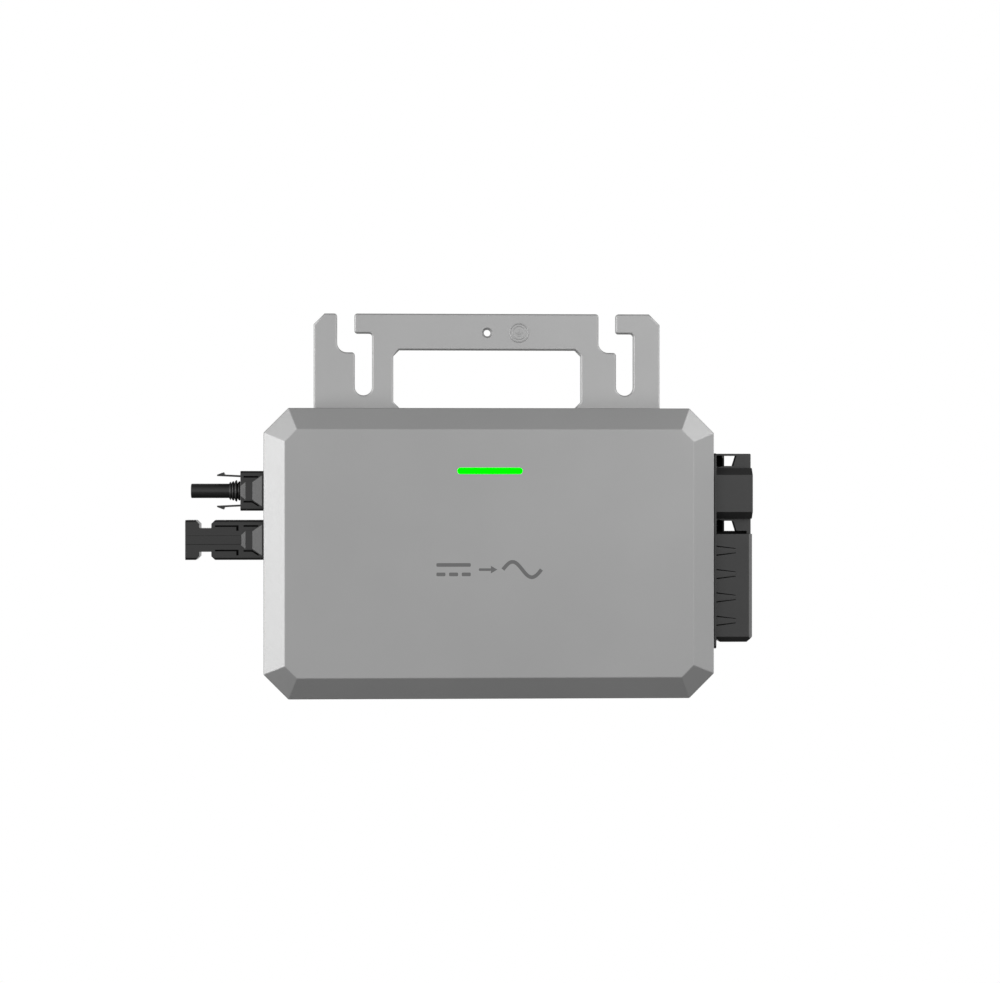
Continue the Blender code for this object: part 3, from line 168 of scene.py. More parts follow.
# %% [markdown]
# ## Rounding, cutting and joining
# Real edges are never knife-sharp, and the thin highlight along a small radius is what makes a
# casting or a moulding look real. `soften` rounds every sharp edge of a piece with a Bevel modifier
# and applies it. `cut` and `join` are Boolean modifiers, applied at once.

# %% Modifier helpers
def soften(obj, radius, segments=3, angle=30):
    pick(obj)
    bevel = obj.modifiers.new("round", "BEVEL")
    bevel.width = radius
    bevel.segments = segments
    bevel.limit_method = "ANGLE"
    bevel.angle_limit = math.radians(angle)
    bevel.use_clamp_overlap = True
    bpy.ops.object.modifier_apply(modifier=bevel.name)
    return obj


def combine(obj, tool, operation):
    pick(obj)
    step = obj.modifiers.new("combine", "BOOLEAN")
    step.operation = operation
    step.solver = "EXACT"
    step.object = tool
    bpy.ops.object.modifier_apply(modifier=step.name)
    bpy.data.objects.remove(tool, do_unlink=True)
    return obj


def cut(obj, *tools):
    for tool in tools:
        combine(obj, tool, "DIFFERENCE")
    return obj


def join(obj, *tools):
    for tool in tools:
        combine(obj, tool, "UNION")
    return obj


def bevel_edges(obj, test, radius, segments=1):
    """Chamfer or round only the edges that pass the test."""
    count = pick_edges(obj, test)
    bpy.ops.mesh.bevel(offset=radius, segments=segments, profile=0.5, affect="EDGES")
    done(obj)
    return count


def smooth(obj, angle=28):
    """Smooth shading across small angles, with the large flat faces kept truly flat."""
    pick(obj)
    bpy.ops.object.shade_smooth_by_angle(angle=math.radians(angle))
    flat = obj.modifiers.new("flat_faces", "WEIGHTED_NORMAL")
    flat.weight = 100
    flat.keep_sharp = True
    bpy.ops.object.modifier_apply(modifier=flat.name)
    return obj


# %% [markdown]
# ## Materials
# Each finish is a small node network on Object coordinates, so that it sits still on the piece.
# Paint and plastic have the same three layers: a slow drift of tone over the whole piece, a fine
# grain that tips the surface a little (bump), and edges that are slightly worn. The worn edge comes
# from the Bevel node: where the rounded normal differs from the flat one, there is an edge.

# %% Node helpers
def new_material(name):
    made = bpy.data.materials.new(name)
    made.use_nodes = True
    return made, made.node_tree.nodes, made.node_tree.links


def noise(nodes, links, coordinates, scale, detail=3.0, roughness=0.5):
    texture = nodes.new("ShaderNodeTexNoise")
    texture.inputs["Scale"].default_value = scale
    texture.inputs["Detail"].default_value = detail
    texture.inputs["Roughness"].default_value = roughness
    links.new(coordinates, texture.inputs["Vector"])
    return texture.outputs["Fac"]


def between(nodes, links, value, low, high):
    """Stretch a noise's middle range to run from one number to another."""
    ramp = nodes.new("ShaderNodeMapRange")
    ramp.inputs["From Min"].default_value = 0.3
    ramp.inputs["From Max"].default_value = 0.7
    ramp.inputs["To Min"].default_value = low
    ramp.inputs["To Max"].default_value = high
    links.new(value, ramp.inputs["Value"])
    return ramp.outputs["Result"]


def mix_colour(nodes, links, share, first, second):
    mix = nodes.new("ShaderNodeMix")
    mix.data_type = "RGBA"
    for socket, colour in ((mix.inputs[6], first), (mix.inputs[7], second)):
        if isinstance(colour, tuple):
            socket.default_value = (*colour, 1.0)
        else:
            links.new(colour, socket)
    links.new(share, mix.inputs[0])
    return mix.outputs[2]


def edge_share(nodes, links, radius):
    """0 on flat surfaces, towards 1 within a radius of an edge."""
    rounded = nodes.new("ShaderNodeBevel")
    rounded.samples = 4
    rounded.inputs["Radius"].default_value = radius
    geometry = nodes.new("ShaderNodeNewGeometry")
    dot = nodes.new("ShaderNodeVectorMath")
    dot.operation = "DOT_PRODUCT"
    links.new(rounded.outputs["Normal"], dot.inputs[0])
    links.new(geometry.outputs["Normal"], dot.inputs[1])
    ramp = nodes.new("ShaderNodeMapRange")
    ramp.inputs["From Min"].default_value = 1.0
    ramp.inputs["From Max"].default_value = 0.90
    links.new(dot.outputs["Value"], ramp.inputs["Value"])
    return ramp.outputs["Result"]


# %% [markdown]
# `finish` is the one finish used for almost everything. Its numbers are how much the tone drifts,
# how fine the grain is, how deep the bump is and how worn the edges are.

# %% The general finish
def finish(name, colour, roughness, metallic=0.0, drift=0.06, grain=2600.0, bump=0.02, wear=0.0,
           specular=0.5, coat=0.0, rough_spread=0.06):
    """A solid finish: drift of tone, fine grain, and lighter worn edges where wear is above 0."""
    made, nodes, links = new_material(name)
    shader = nodes["Principled BSDF"]
    shader.inputs["Metallic"].default_value = metallic
    shader.inputs["Specular IOR Level"].default_value = specular
    if coat > 0:
        shader.inputs["Coat Weight"].default_value = coat
        shader.inputs["Coat Roughness"].default_value = 0.25
    coordinates = nodes.new("ShaderNodeTexCoord").outputs["Object"]
    slow = noise(nodes, links, coordinates, 18.0)
    fine = noise(nodes, links, coordinates, grain, 2.0)
    dark = tuple(channel * (1 - drift) for channel in colour)
    light = tuple(channel * (1 + drift) for channel in colour)
    tone = mix_colour(nodes, links, between(nodes, links, slow, 0.0, 1.0), dark, light)
    if wear > 0:
        edges = edge_share(nodes, links, 0.45 * MM)
        patchy = nodes.new("ShaderNodeMath")
        patchy.operation = "MULTIPLY"
        links.new(edges, patchy.inputs[0])
        links.new(between(nodes, links, noise(nodes, links, coordinates, 400.0), 0.0, wear), patchy.inputs[1])
        worn = tuple(min(1.0, channel * 1.35 + 0.05) for channel in colour)
        tone = mix_colour(nodes, links, patchy.outputs["Value"], tone, worn)
    links.new(tone, shader.inputs["Base Color"])
    rough = between(nodes, links, fine, roughness - rough_spread, roughness + rough_spread)
    links.new(rough, shader.inputs["Roughness"])
    relief = nodes.new("ShaderNodeBump")
    relief.inputs["Strength"].default_value = bump
    relief.inputs["Distance"].default_value = 0.1 * MM
    links.new(fine, relief.inputs["Height"])
    links.new(relief.outputs["Normal"], shader.inputs["Normal"])
    return made


def dress(obj, material):
    obj.data.materials.clear()
    obj.data.materials.append(material)
    return obj


# %% [markdown]
# ## The finishes of this unit
# The casting has a fine satin grey powder paint with metal flake in it, so it darkens where it
# faces away from the lamps. The connectors are black glass-filled plastic with a spark-eroded skin.

# %% Paint, plastic, rubber, metal
paint = finish("satin grey paint", (0.335, 0.335, 0.335), 0.42, 0.55, drift=0.025, grain=3200.0,
               bump=0.05, wear=0.18)
# The plate has the casting's paint made lighter: the lighter colour is painted light.
plate_paint_lit = finish("plate grey paint, painted lighter", (0.375, 0.375, 0.375), 0.42, 0.55, drift=0.025, grain=3200.0,
                     bump=0.05, wear=0.20)
black_plastic = finish("black glass-filled plastic", (0.021, 0.021, 0.021), 0.34, 0.0, drift=0.12,
                       grain=2400.0, bump=0.10, wear=0.25, specular=0.45)
# The DC connectors get the same black plastic made darker: painted shade, for the lower light on them.
dc_plastic_shaded = finish("black connector plastic, shaded", (0.0135, 0.0135, 0.0135), 0.32, 0.0, drift=0.12,
                    grain=2400.0, bump=0.10, wear=0.25, specular=0.45)
black_rubber = finish("black rubber", (0.018, 0.018, 0.018), 0.72, 0.0, drift=0.15, grain=1500.0, bump=0.12)
steel = finish("stainless steel", (0.56, 0.56, 0.57), 0.30, 1.0, drift=0.04, grain=1800.0, bump=0.04,
               wear=0.1)
tinned = finish("tinned contact", (0.72, 0.71, 0.69), 0.24, 1.0, drift=0.04, grain=1500.0, bump=0.02)
mark_ink = finish("dark grey ink", (0.115, 0.115, 0.115), 0.55, 0.0, drift=0.05, grain=2600.0, bump=0.04)
print("materials so far:", len(bpy.data.materials))

# %% [markdown]
# Deep recesses in a black moulding get a second, matt material, much darker than the moulding, on the
# faces that lie inside them. Its dark colour is painted shade, for the shade that falls in these recesses.

# %% Painted shade in recesses
# A matt, darker copy of the black: its colour is painted shade for the faces inside recesses.
recess_shade_black = finish("painted recess shade", (0.008, 0.008, 0.008), 0.9, grain=1500.0, bump=0.05, specular=0.1)


def paint_recess_shade(obj, spaces):
    """Give the dark painted-shade material to every face whose centre is inside one of the boxes."""
    obj.data.materials.append(recess_shade_black)
    margin = Vector((0.02, 0.02, 0.02)) * MM

    def inside(centre, normal):
        return any(all(low[i] - margin[i] <= centre[i] <= high[i] + margin[i] for i in range(3))
                   for low, high in spaces)

    count = pick_faces(obj, inside)
    obj.active_material_index = len(obj.data.materials) - 1
    bpy.ops.object.material_slot_assign()
    done(obj)
    return count


# %% [markdown]
# ## The housing casting
# A slim box whose four upright corners are cut at 45 degrees and whose front stands out behind a
# sloped border. By hand: a cube, its corner edges bevelled with one segment, then the front face
# inset and pushed forwards. The rear face is deleted and Solidify gives the wall.

# %% Housing: outside form
CORNER_CUT = 11.6 * MM
BORDER = 10.1 * MM
RISE = 5.0 * MM
WALL = 3.0 * MM
casting = box("housing_casting", (LEFT, FRONT + RISE, BOTTOM), (RIGHT, REAR, TOP))
corners = bevel_edges(casting, lambda a, b: near(a.x, b.x) and near(a.z, b.z), CORNER_CUT)
pick_faces(casting, lambda centre, normal: normal.y < -0.9)
bpy.ops.mesh.inset(thickness=BORDER, depth=0.0, use_even_offset=True)
bpy.ops.transform.translate(value=(0, -RISE, 0))
done(casting)
soften(casting, 0.35 * MM, 3, angle=15)
print("corner edges cut:", corners)

# %% [markdown]
# The rear plate closes the casting, so its rear face is removed. Solidify then gives the thin skin
# that is left a wall of even thickness, measured inwards.

# %% Housing: open the rear and give it a wall
pick_faces(casting, lambda centre, normal: normal.y > 0.9)
bpy.ops.mesh.delete(type="FACE")
done(casting)
pick(casting)
wall = casting.modifiers.new("wall", "SOLIDIFY")
wall.thickness = WALL
wall.offset = -1.0
wall.use_even_offset = True
bpy.ops.object.modifier_apply(modifier=wall.name)

# %% [markdown]
# The openings are where the light bar and the two DC necks pass through the wall. The
# light's slot is a long box with its short ends rounded to half circles.

# %% Housing: openings
GAP = 0.3 * MM
LIGHT_HALF = 15.2 * MM
LIGHT_RISE = 1.45 * MM


def round_bar(name, front, back, margin):
    """Bar with half-round ends, along X."""
    tall = LIGHT_RISE + margin
    long = LIGHT_HALF + margin
    bar = box(name, (-long, front, light_middle.z - tall), (long, back, light_middle.z + tall))
    bevel_edges(bar, lambda a, b: near(a.x, b.x) and near(a.z, b.z), tall * 0.995, 10)
    return bar


def round_tool(name, place, length, radius, sides=64):
    return stack(name, sides, place, [(0, radius), (length, radius)])


cut(casting, round_bar("light_slot", FRONT - WALL, FRONT + 2 * WALL, 0.08 * MM))
NECK_RADIUS = 6.0 * MM
for axis_z in (plug_axis.z, socket_axis.z):
    cut(casting, round_tool("neck_opening", (LEFT - WALL, plug_axis.y, axis_z), 3 * WALL, NECK_RADIUS + GAP))
smooth(dress(casting, paint))
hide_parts("front_housing")
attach(casting, "housing")
print("casting faces:", len(casting.data.polygons))

# %% [markdown]
# ## The hanging plate
# The rear plate and the bracket are one pressed and machined plate, 4 mm thick. The outline is built
# from two boxes joined, then cut: a window with 45 degree corners and two stepped hook slots. The
# hook slots let the unit drop onto two bolts and slide sideways under a hook. Last, the front edges
# are rounded in one go by selecting only the edges that lie in the front plane.

# %% Plate: outline
PLATE_THICK = 4.0 * MM
PLATE_FRONT = plate_high.y - PLATE_THICK
PLATE_REAR = plate_high.y
BRACKET_HALF = 82.8 * MM
BRACKET_TOP = plate_high.z
BRACKET_CORNER = 5.2 * MM
plate = box("hanging_plate", (LEFT, PLATE_FRONT, BOTTOM), (RIGHT, PLATE_REAR, TOP))
bevel_edges(plate, lambda a, b: near(a.x, b.x) and near(a.z, b.z), CORNER_CUT)
bracket = box("bracket", (-BRACKET_HALF, PLATE_FRONT, TOP - 10 * MM), (BRACKET_HALF, PLATE_REAR, BRACKET_TOP))
bevel_edges(bracket, lambda a, b: near(a.x, b.x) and near(a.z, b.z) and a.z > TOP, BRACKET_CORNER)
join(plate, bracket)

# %% [markdown]
# The window above the body is one box with its four upright corner edges cut at 45 degrees.

# %% Plate: window
WINDOW_HALF = 44.8 * MM
WINDOW_TOP = BRACKET_TOP - 17.4 * MM
WINDOW_CORNER = 2.8 * MM
window = box("window_tool", (-WINDOW_HALF, PLATE_FRONT - 1 * MM, TOP + 0.9 * MM),
             (WINDOW_HALF, PLATE_REAR + 1 * MM, WINDOW_TOP))
bevel_edges(window, lambda a, b: near(a.x, b.x) and near(a.z, b.z), WINDOW_CORNER)
cut(plate, window)

# %% [markdown]
# A hook slot is a stepped shape, so its cutter starts as the middle bar. Two slices mark off the
# mouth and the seat, and those parts of the bar are pulled up and down. Leftover points of the
# slices are dissolved before the corners are rounded.

# %% Plate: the cutter of one hook slot
SLOT_WIDTH = 8.2 * MM
SLOT_STEP = 8.4 * MM
SLOT_PITCH = 125.0 * MM
FIRST_MOUTH = -71.6 * MM
HOOK_Z = BRACKET_TOP - 9.5 * MM
LEDGE_Z = BRACKET_TOP - 18.5 * MM
SEAT_Z = BRACKET_TOP - 39.0 * MM
LEDGE_ROUND = 4.6 * MM
LIP_ROUND = 1.4 * MM
SEAT_ROUND = 1.5 * MM


def slice_upright(obj, x):
    """Cut every face of a piece along an upright line, keeping both halves."""
    pick(obj)
    bpy.ops.object.mode_set(mode="EDIT")
    bpy.ops.mesh.select_all(action="SELECT")
    bpy.ops.mesh.bisect(plane_co=(x, 0, 0), plane_no=(1, 0, 0))
    done(obj)


def slot_tool(left):
    """A bar as long as the sideways step: one end pulled up for the mouth, one down for the seat."""
    mouth_right = left + SLOT_WIDTH
    seat_left = left + SLOT_STEP
    seat_right = seat_left + SLOT_WIDTH
    tool = box("slot_tool", (left, PLATE_FRONT - 1 * MM, LEDGE_Z), (seat_right, PLATE_REAR + 1 * MM, HOOK_Z))
    slice_upright(tool, mouth_right)
    slice_upright(tool, seat_left)
    pick_faces(tool, lambda centre, normal: normal.z > 0.9 and centre.x < mouth_right)
    rise = BRACKET_TOP + 2 * MM - HOOK_Z
    bpy.ops.mesh.extrude_region_move(TRANSFORM_OT_translate={"value": (0, 0, rise)})
    done(tool)
    pick_faces(tool, lambda centre, normal: normal.z < -0.9 and centre.x > seat_left)
    bpy.ops.mesh.extrude_region_move(TRANSFORM_OT_translate={"value": (0, 0, SEAT_Z - LEDGE_Z)})
    bpy.ops.mesh.select_all(action="SELECT")
    bpy.ops.mesh.dissolve_limited(angle_limit=math.radians(1))
    done(tool)
    corners = [(left, LEDGE_Z, LEDGE_ROUND), (mouth_right, HOOK_Z, LIP_ROUND),
               (seat_right, HOOK_Z, SEAT_ROUND), (seat_left, LEDGE_Z, SEAT_ROUND)]
    for x, z, radius in corners:
        bevel_edges(tool, lambda a, b: all(near(end.x, x) and near(end.z, z) for end in (a, b)), radius, 8)
    bevel_edges(tool, lambda a, b: all(near(end.z, SEAT_Z) for end in (a, b)) and near(a.x, b.x),
                SLOT_WIDTH / 2 * 0.99, 14)
    return tool


# %% [markdown]
# Both slots come from the same cutter. The lips beside each mouth are rounded after the cut.

# %% Plate: the two hook slots
for slot_left in (FIRST_MOUTH, FIRST_MOUTH + SLOT_PITCH):
    cut(plate, slot_tool(slot_left))
    lips = (slot_left, slot_left + SLOT_WIDTH)
    count = bevel_edges(plate, lambda a, b: all(
        near(end.z, BRACKET_TOP) and min(abs(end.x - x) for x in lips) < 0.05 * MM for end in (a, b))
        and near(a.x, b.x), LIP_ROUND, 6)
    print("slot at", round(slot_left / MM, 1), "mm, lips rounded:", count)

# %% [markdown]
# The earth hole is countersunk from the front. At the rear six seats sink the cover screws' heads
# below the face that lies on the rail.

# %% Plate: earth hole and screw seats
def upright(tool, place):
    """Turn a piece made along X so that it points along Y, and put it in place."""
    tool.rotation_euler = (0, 0, math.pi / 2)
    tool.location = place
    pick(tool)
    bpy.ops.object.transform_apply(location=True, rotation=True, scale=True)
    return tool


EARTH_Z = BRACKET_TOP - 9.1 * MM
HOLE_RADIUS = 1.6 * MM
SINK_RADIUS = 2.55 * MM
sink = stack("earth_hole", 48, (0, 0, 0), [
    (-1.0 * MM, SINK_RADIUS + 1.0 * MM), (0, SINK_RADIUS), (SINK_RADIUS - HOLE_RADIUS, HOLE_RADIUS),
    (PLATE_THICK + 2 * MM, HOLE_RADIUS)])
cut(plate, upright(sink, (0, PLATE_FRONT, EARTH_Z)))
SHANK_HOLE = 2.2 * MM
HEAD_SEAT = 3.6 * MM
HEAD_DEPTH = 2.6 * MM
for number in range(1, 7):
    screw_low, screw_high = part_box(f"cover_screw_{number}")
    place = ((screw_low.x + screw_high.x) / 2, 0, (screw_low.z + screw_high.z) / 2)
    seat = stack("seat", 48, (0, 0, 0), [
        (-PLATE_THICK - 1 * MM, SHANK_HOLE), (-HEAD_DEPTH, SHANK_HOLE),
        (-HEAD_DEPTH + 0.001 * MM, HEAD_SEAT), (1 * MM, HEAD_SEAT)])
    cut(plate, upright(seat, place))
# %% [markdown]
# The outline's front edges are rounded last, in one go: every sharp edge that lies in the front
# plane, except the rim of the earth hole.

# %% Plate: rounded front edges
def on_front_outline(a, b):
    in_front = near(a.y, PLATE_FRONT) and near(b.y, PLATE_FRONT)
    by_hole = math.hypot(a.x, a.z - EARTH_Z) < 5 * MM
    return in_front and not by_hole


FRONT_ROUND = 0.9 * MM
count = bevel_edges(plate, on_front_outline, FRONT_ROUND, 4)
print("front edges rounded:", count)
smooth(dress(plate, plate_paint_lit))
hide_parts("back_plate")
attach(plate, "housing")
print("plate faces:", len(plate.data.polygons))

# %% [markdown]
# ## The light bar
# A clear guide carries the lamp's light to the front as an even green bar. It is a box with rounded
# ends and a softened rim, and its material glows on its own.

# %% Light bar
def glowing(name, colour, strength):
    made, nodes, links = new_material(name)
    shader = nodes["Principled BSDF"]
    coordinates = nodes.new("ShaderNodeTexCoord").outputs["Object"]
    cloud = between(nodes, links, noise(nodes, links, coordinates, 350.0), 0.0, 1.0)
    rim = tuple(channel * 0.92 for channel in colour)
    links.new(mix_colour(nodes, links, cloud, rim, colour), shader.inputs["Base Color"])
    shader.inputs["Roughness"].default_value = 0.35
    shader.inputs["Specular IOR Level"].default_value = 0.0
    shader.inputs["Emission Color"].default_value = (*colour, 1.0)
    shader.inputs["Emission Strength"].default_value = strength
    bump = nodes.new("ShaderNodeBump")
    bump.inputs["Strength"].default_value = 0.03
    bump.inputs["Distance"].default_value = 0.1 * MM
    links.new(noise(nodes, links, coordinates, 1200.0), bump.inputs["Height"])
    links.new(bump.outputs["Normal"], shader.inputs["Normal"])
    return made


green_glow = glowing("green light guide", (0.0, 1.0, 0.0), 1.0)
light_bar = round_bar("light_bar", FRONT - 0.02 * MM, FRONT + 4.0 * MM, 0.0)
soften(light_bar, 0.12 * MM, 2, angle=60)
smooth(dress(light_bar, green_glow))
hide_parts("led_light_pipe")
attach(light_bar, "housing")

# %% [markdown]
# ## A generic mark
# Where such units carry a maker's sign, this one has the plain symbols of what it does: direct
# current in (a long line over three short ones), an arrow, alternating current out (one wave). The
# strokes are boxes with rounded ends, and the wave is a curve with a flat, square section.

# %% Mark helpers
INK_THICK = 0.02 * MM
MARK_Z = -7.4 * MM
STROKE = 1.7 * MM


def stroke(name, left, right, z, tall=STROKE):
    piece = box(name, (left, FRONT - INK_THICK, z - tall / 2), (right, FRONT + INK_THICK, z + tall / 2))
    bevel_edges(piece, lambda a, b: near(a.x, b.x) and near(a.z, b.z), tall * 0.3, 4)
    return piece


def wave(name, left, length, z, rise, thick, y, points=40):
    """One period of a sine wave as a flat ribbon."""
    bpy.ops.mesh.primitive_grid_add(x_subdivisions=points, y_subdivisions=1, size=1.0)
    ribbon = bpy.context.object
    ribbon.name = name
    for vertex in ribbon.data.vertices:
        along = vertex.co.x + 0.5
        side = 1 if vertex.co.y > 0 else -1
        angle = 2 * math.pi * along
        slope = rise * 2 * math.pi / length * math.cos(angle)
        lean = math.hypot(1.0, slope)
        centre = Vector((left + length * along, y, z + rise * math.sin(angle)))
        vertex.co = centre + Vector((-slope / lean, 0, 1 / lean)) * side * thick / 2
    pick(ribbon)
    bpy.ops.object.mode_set(mode="EDIT")
    bpy.ops.mesh.select_all(action="SELECT")
    bpy.ops.mesh.extrude_region_move(TRANSFORM_OT_translate={"value": (0, 2 * INK_THICK, 0)})
    bpy.ops.mesh.select_all(action="SELECT")
    bpy.ops.mesh.normals_make_consistent(inside=False)
    return done(ribbon)


# %% [markdown]
# The whole sign is placed round the body's middle: the direct-current sign at the left, the arrow
# at the middle, the wave at the right. Its pieces are joined into one object.

# %% Mark strokes
pieces = [stroke("mark_line", -25 * MM, -9 * MM, MARK_Z + 2.2 * MM)]
for number in range(3):
    start = -25 * MM + number * 5.9 * MM
    pieces.append(stroke(f"mark_dash_{number + 1}", start, start + 4.2 * MM, MARK_Z - 2.2 * MM))
pieces.append(wave("mark_wave", 6 * MM, 18 * MM, MARK_Z, 3.6 * MM, STROKE, FRONT - INK_THICK))
HEAD_RADIUS = 2.0 * MM
HEAD_X = 1.4 * MM
pieces.append(stroke("mark_shaft", -5.2 * MM, HEAD_X - HEAD_RADIUS / 2, MARK_Z, 1.2 * MM))
bpy.ops.mesh.primitive_cylinder_add(vertices=3, radius=HEAD_RADIUS, depth=2 * INK_THICK,
                                    location=(HEAD_X, FRONT, MARK_Z), rotation=(math.pi / 2, math.pi / 2, 0))
head = bpy.context.object
bpy.ops.object.transform_apply(location=True, rotation=True, scale=True)
pieces.append(head)
mark = pieces[0]
pick(*pieces)
bpy.ops.object.join()
mark.name = "front_mark"
dress(mark, mark_ink)
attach(mark, "housing")
print("mark strokes:", len(pieces))

# %% [markdown]
# ## The earth symbol
# The symbol beside the earth hole is pressed into the plate: two fine rings round the usual sign of
# an upright bar over three lines. Thin rings and bars that stand a fraction of a millimetre proud
# catch the light along one side, as an embossed sign does.

# %% Earth symbol
EMBOSS = 0.26 * MM
sign = Vector((15.2 * MM, PLATE_FRONT, EARTH_Z))
rings = []
for radius, thick in ((4.4 * MM, 0.30 * MM), (3.1 * MM, 0.20 * MM)):
    bpy.ops.mesh.primitive_torus_add(major_radius=radius, minor_radius=thick, major_segments=72,
                                     minor_segments=10, location=sign, rotation=(math.pi / 2, 0, 0))
    ring = bpy.context.object
    bpy.ops.object.transform_apply(location=True, rotation=True, scale=True)
    rings.append(ring)
bars = [(0.14, 0.35, 1.9), (1.75, -0.10, 0.16), (1.2, -0.85, -0.58), (0.7, -1.6, -1.32)]
for half, low, high in bars:
    bar = box("bar", (sign.x - half * MM, PLATE_FRONT - EMBOSS, sign.z + low * MM),
              (sign.x + half * MM, PLATE_FRONT + EMBOSS, sign.z + high * MM))
    rings.append(soften(bar, 0.06 * MM, 2))
earth_sign = rings[0]
pick(*rings)
bpy.ops.object.join()
earth_sign.name = "earth_sign"
smooth(dress(earth_sign, plate_paint_lit), 60)
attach(earth_sign, "housing")

# %% [markdown]
# ## DC connectors
# Both connectors share the same foot at the wall: a square black block whose long front edges are
# cut, and a stepped core that flares towards the wall. The core is a square plate extruded along X
# and scaled at each step. Its slopes face the left, so they catch the light from that side.

# %% The stepped core
BLOCK_HALF = 9.32 * MM
BLOCK_DEPTH = 8.0 * MM
BLOCK_END = LEFT - 11.0 * MM


def core(name, axis):
    """Steps towards the wall: distance from the block's end, half depth, half height."""
    steps = [(0.0, 7.9, 2.2), (2.45, 9.2, 4.15), (5.7, 9.2, 4.15), (10.2, 11.35, 7.2), (10.7, 11.35, 7.2)]
    x, deep, tall = steps[0]
    plate_end = box(name, (BLOCK_END - 0.05 * MM, axis.y - deep * MM, axis.z - tall * MM),
                    (BLOCK_END, axis.y + deep * MM, axis.z + tall * MM))
    pick_faces(plate_end, lambda centre, normal: normal.x > 0.9)
    for next_x, next_deep, next_tall in steps[1:]:
        bpy.ops.mesh.extrude_region_move(TRANSFORM_OT_translate={"value": ((next_x - x) * MM, 0, 0)})
        centre = Vector((BLOCK_END + next_x * MM, axis.y, axis.z))
        bpy.ops.transform.resize(value=(1, next_deep / deep, next_tall / tall), center_override=centre)
        x, deep, tall = next_x, next_deep, next_tall
    done(plate_end)
    return soften(plate_end, 0.12 * MM, 2, angle=12)


# %% [markdown]
# The block is square at the left and its long front edges are cut at 45 degrees. Shadow grooves
# run beside the core. `slits` lists them as boxes: left, right, bottom and top, measured from the
# block's left end and the connector's axis. The lower groove ends in a short slanting part.

# %% The block and its grooves
SLIT_DEPTH = 1.6 * MM
FOOT_SLITS = [(1.5, 8.4, 6.15, 7.0), (1.5, 5.9, -5.5, -4.7)]


def slit(axis, left, right, low, high, origin=BLOCK_END):
    front = axis.y - BLOCK_DEPTH
    return ((origin + left * MM, front - 1 * MM, axis.z + low * MM),
            (origin + right * MM, front + SLIT_DEPTH, axis.z + high * MM))


def slanting_slit(axis):
    """Groove that follows the core's lower flank down towards the wall."""
    corner = slit(axis, 5.4, 9.2, -5.5, -4.7)
    tool = box("slant", *corner)
    pick_faces(tool, lambda centre, normal: normal.x > 0.9)
    bpy.ops.transform.translate(value=(-0.6 * MM, 0, -1.9 * MM))
    return done(tool)


def foot(name, axis, left_end):
    base = box(name, (left_end, axis.y - BLOCK_DEPTH, axis.z - BLOCK_HALF),
               (LEFT - GAP, axis.y + BLOCK_DEPTH, axis.z + BLOCK_HALF))
    long_edges = bevel_edges(base, lambda a, b: near(a.y, b.y) and near(a.z, b.z), 0.9 * MM)
    soften(base, 0.2 * MM, 2)
    for numbers in FOOT_SLITS:
        cut(base, box("groove", *slit(axis, *numbers)))
    cut(base, slanting_slit(axis))
    print(name, "long edges cut:", long_edges)
    return base


def foot_spaces(axis):
    """The room inside the grooves, a little way below the front, where the painted shade goes."""
    spaces = []
    for numbers in (*FOOT_SLITS, (5.4, 9.2, -7.5, -4.7)):
        low, high = slit(axis, *numbers)
        spaces.append(((low[0], low[1] + 1.1 * MM, low[2]), high))
    return spaces


# %% [markdown]
# The plug, the upper connector, ends in a slim nose with a ribbed seal. The nose is a stack of
# rings: the tube, a collar beside the seal, and the neck through the wall. A second stack cuts the
# bore.

# %% DC plug
plug = foot("plug_moulding", plug_axis, BLOCK_END)
join(plug, core("plug_core", plug_axis))
axis_point = Vector((0, plug_axis.y, plug_axis.z))
NOSE_RADIUS = 3.4 * MM
COLLAR_RADIUS = 4.4 * MM
COLLAR_X = LEFT - 16.5 * MM
nose = stack("plug_nose", 64, axis_point, [
    (plug_low.x, NOSE_RADIUS - 0.35 * MM), (plug_low.x + 0.12 * MM, NOSE_RADIUS - 0.12 * MM),
    (plug_low.x + 0.35 * MM, NOSE_RADIUS), (COLLAR_X, NOSE_RADIUS),
    (COLLAR_X + 0.05 * MM, COLLAR_RADIUS - 0.45 * MM), (COLLAR_X + 0.75 * MM, COLLAR_RADIUS),
    (COLLAR_X + 0.80 * MM, NOSE_RADIUS), (LEFT - 9.0 * MM, NOSE_RADIUS)])
neck = stack("plug_neck", 64, axis_point, [(LEFT - 4 * MM, NECK_RADIUS), (plug_high.x, NECK_RADIUS)])
join(plug, nose, neck)
PLUG_BORE = 2.8 * MM
bore_rings = [(plug_low.x - 1 * MM, PLUG_BORE), (plug_high.x + 1 * MM, PLUG_BORE)]
cut(plug, stack("plug_bore", 64, axis_point, bore_rings))
dress(plug, dc_plastic_shaded)
# The faces inside the grooves get painted shade, the dark recess material.
print("painted shade faces:", paint_recess_shade(plug, foot_spaces(plug_axis)))
smooth(plug)
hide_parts("dc_plug_body")
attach(plug, "housing")

# %% [markdown]
# The seal on the nose is moulded rubber with three ribs, the middle one largest. Each rib rises
# from the left over a sloping shoulder to a round crest and then drops back to the valley.

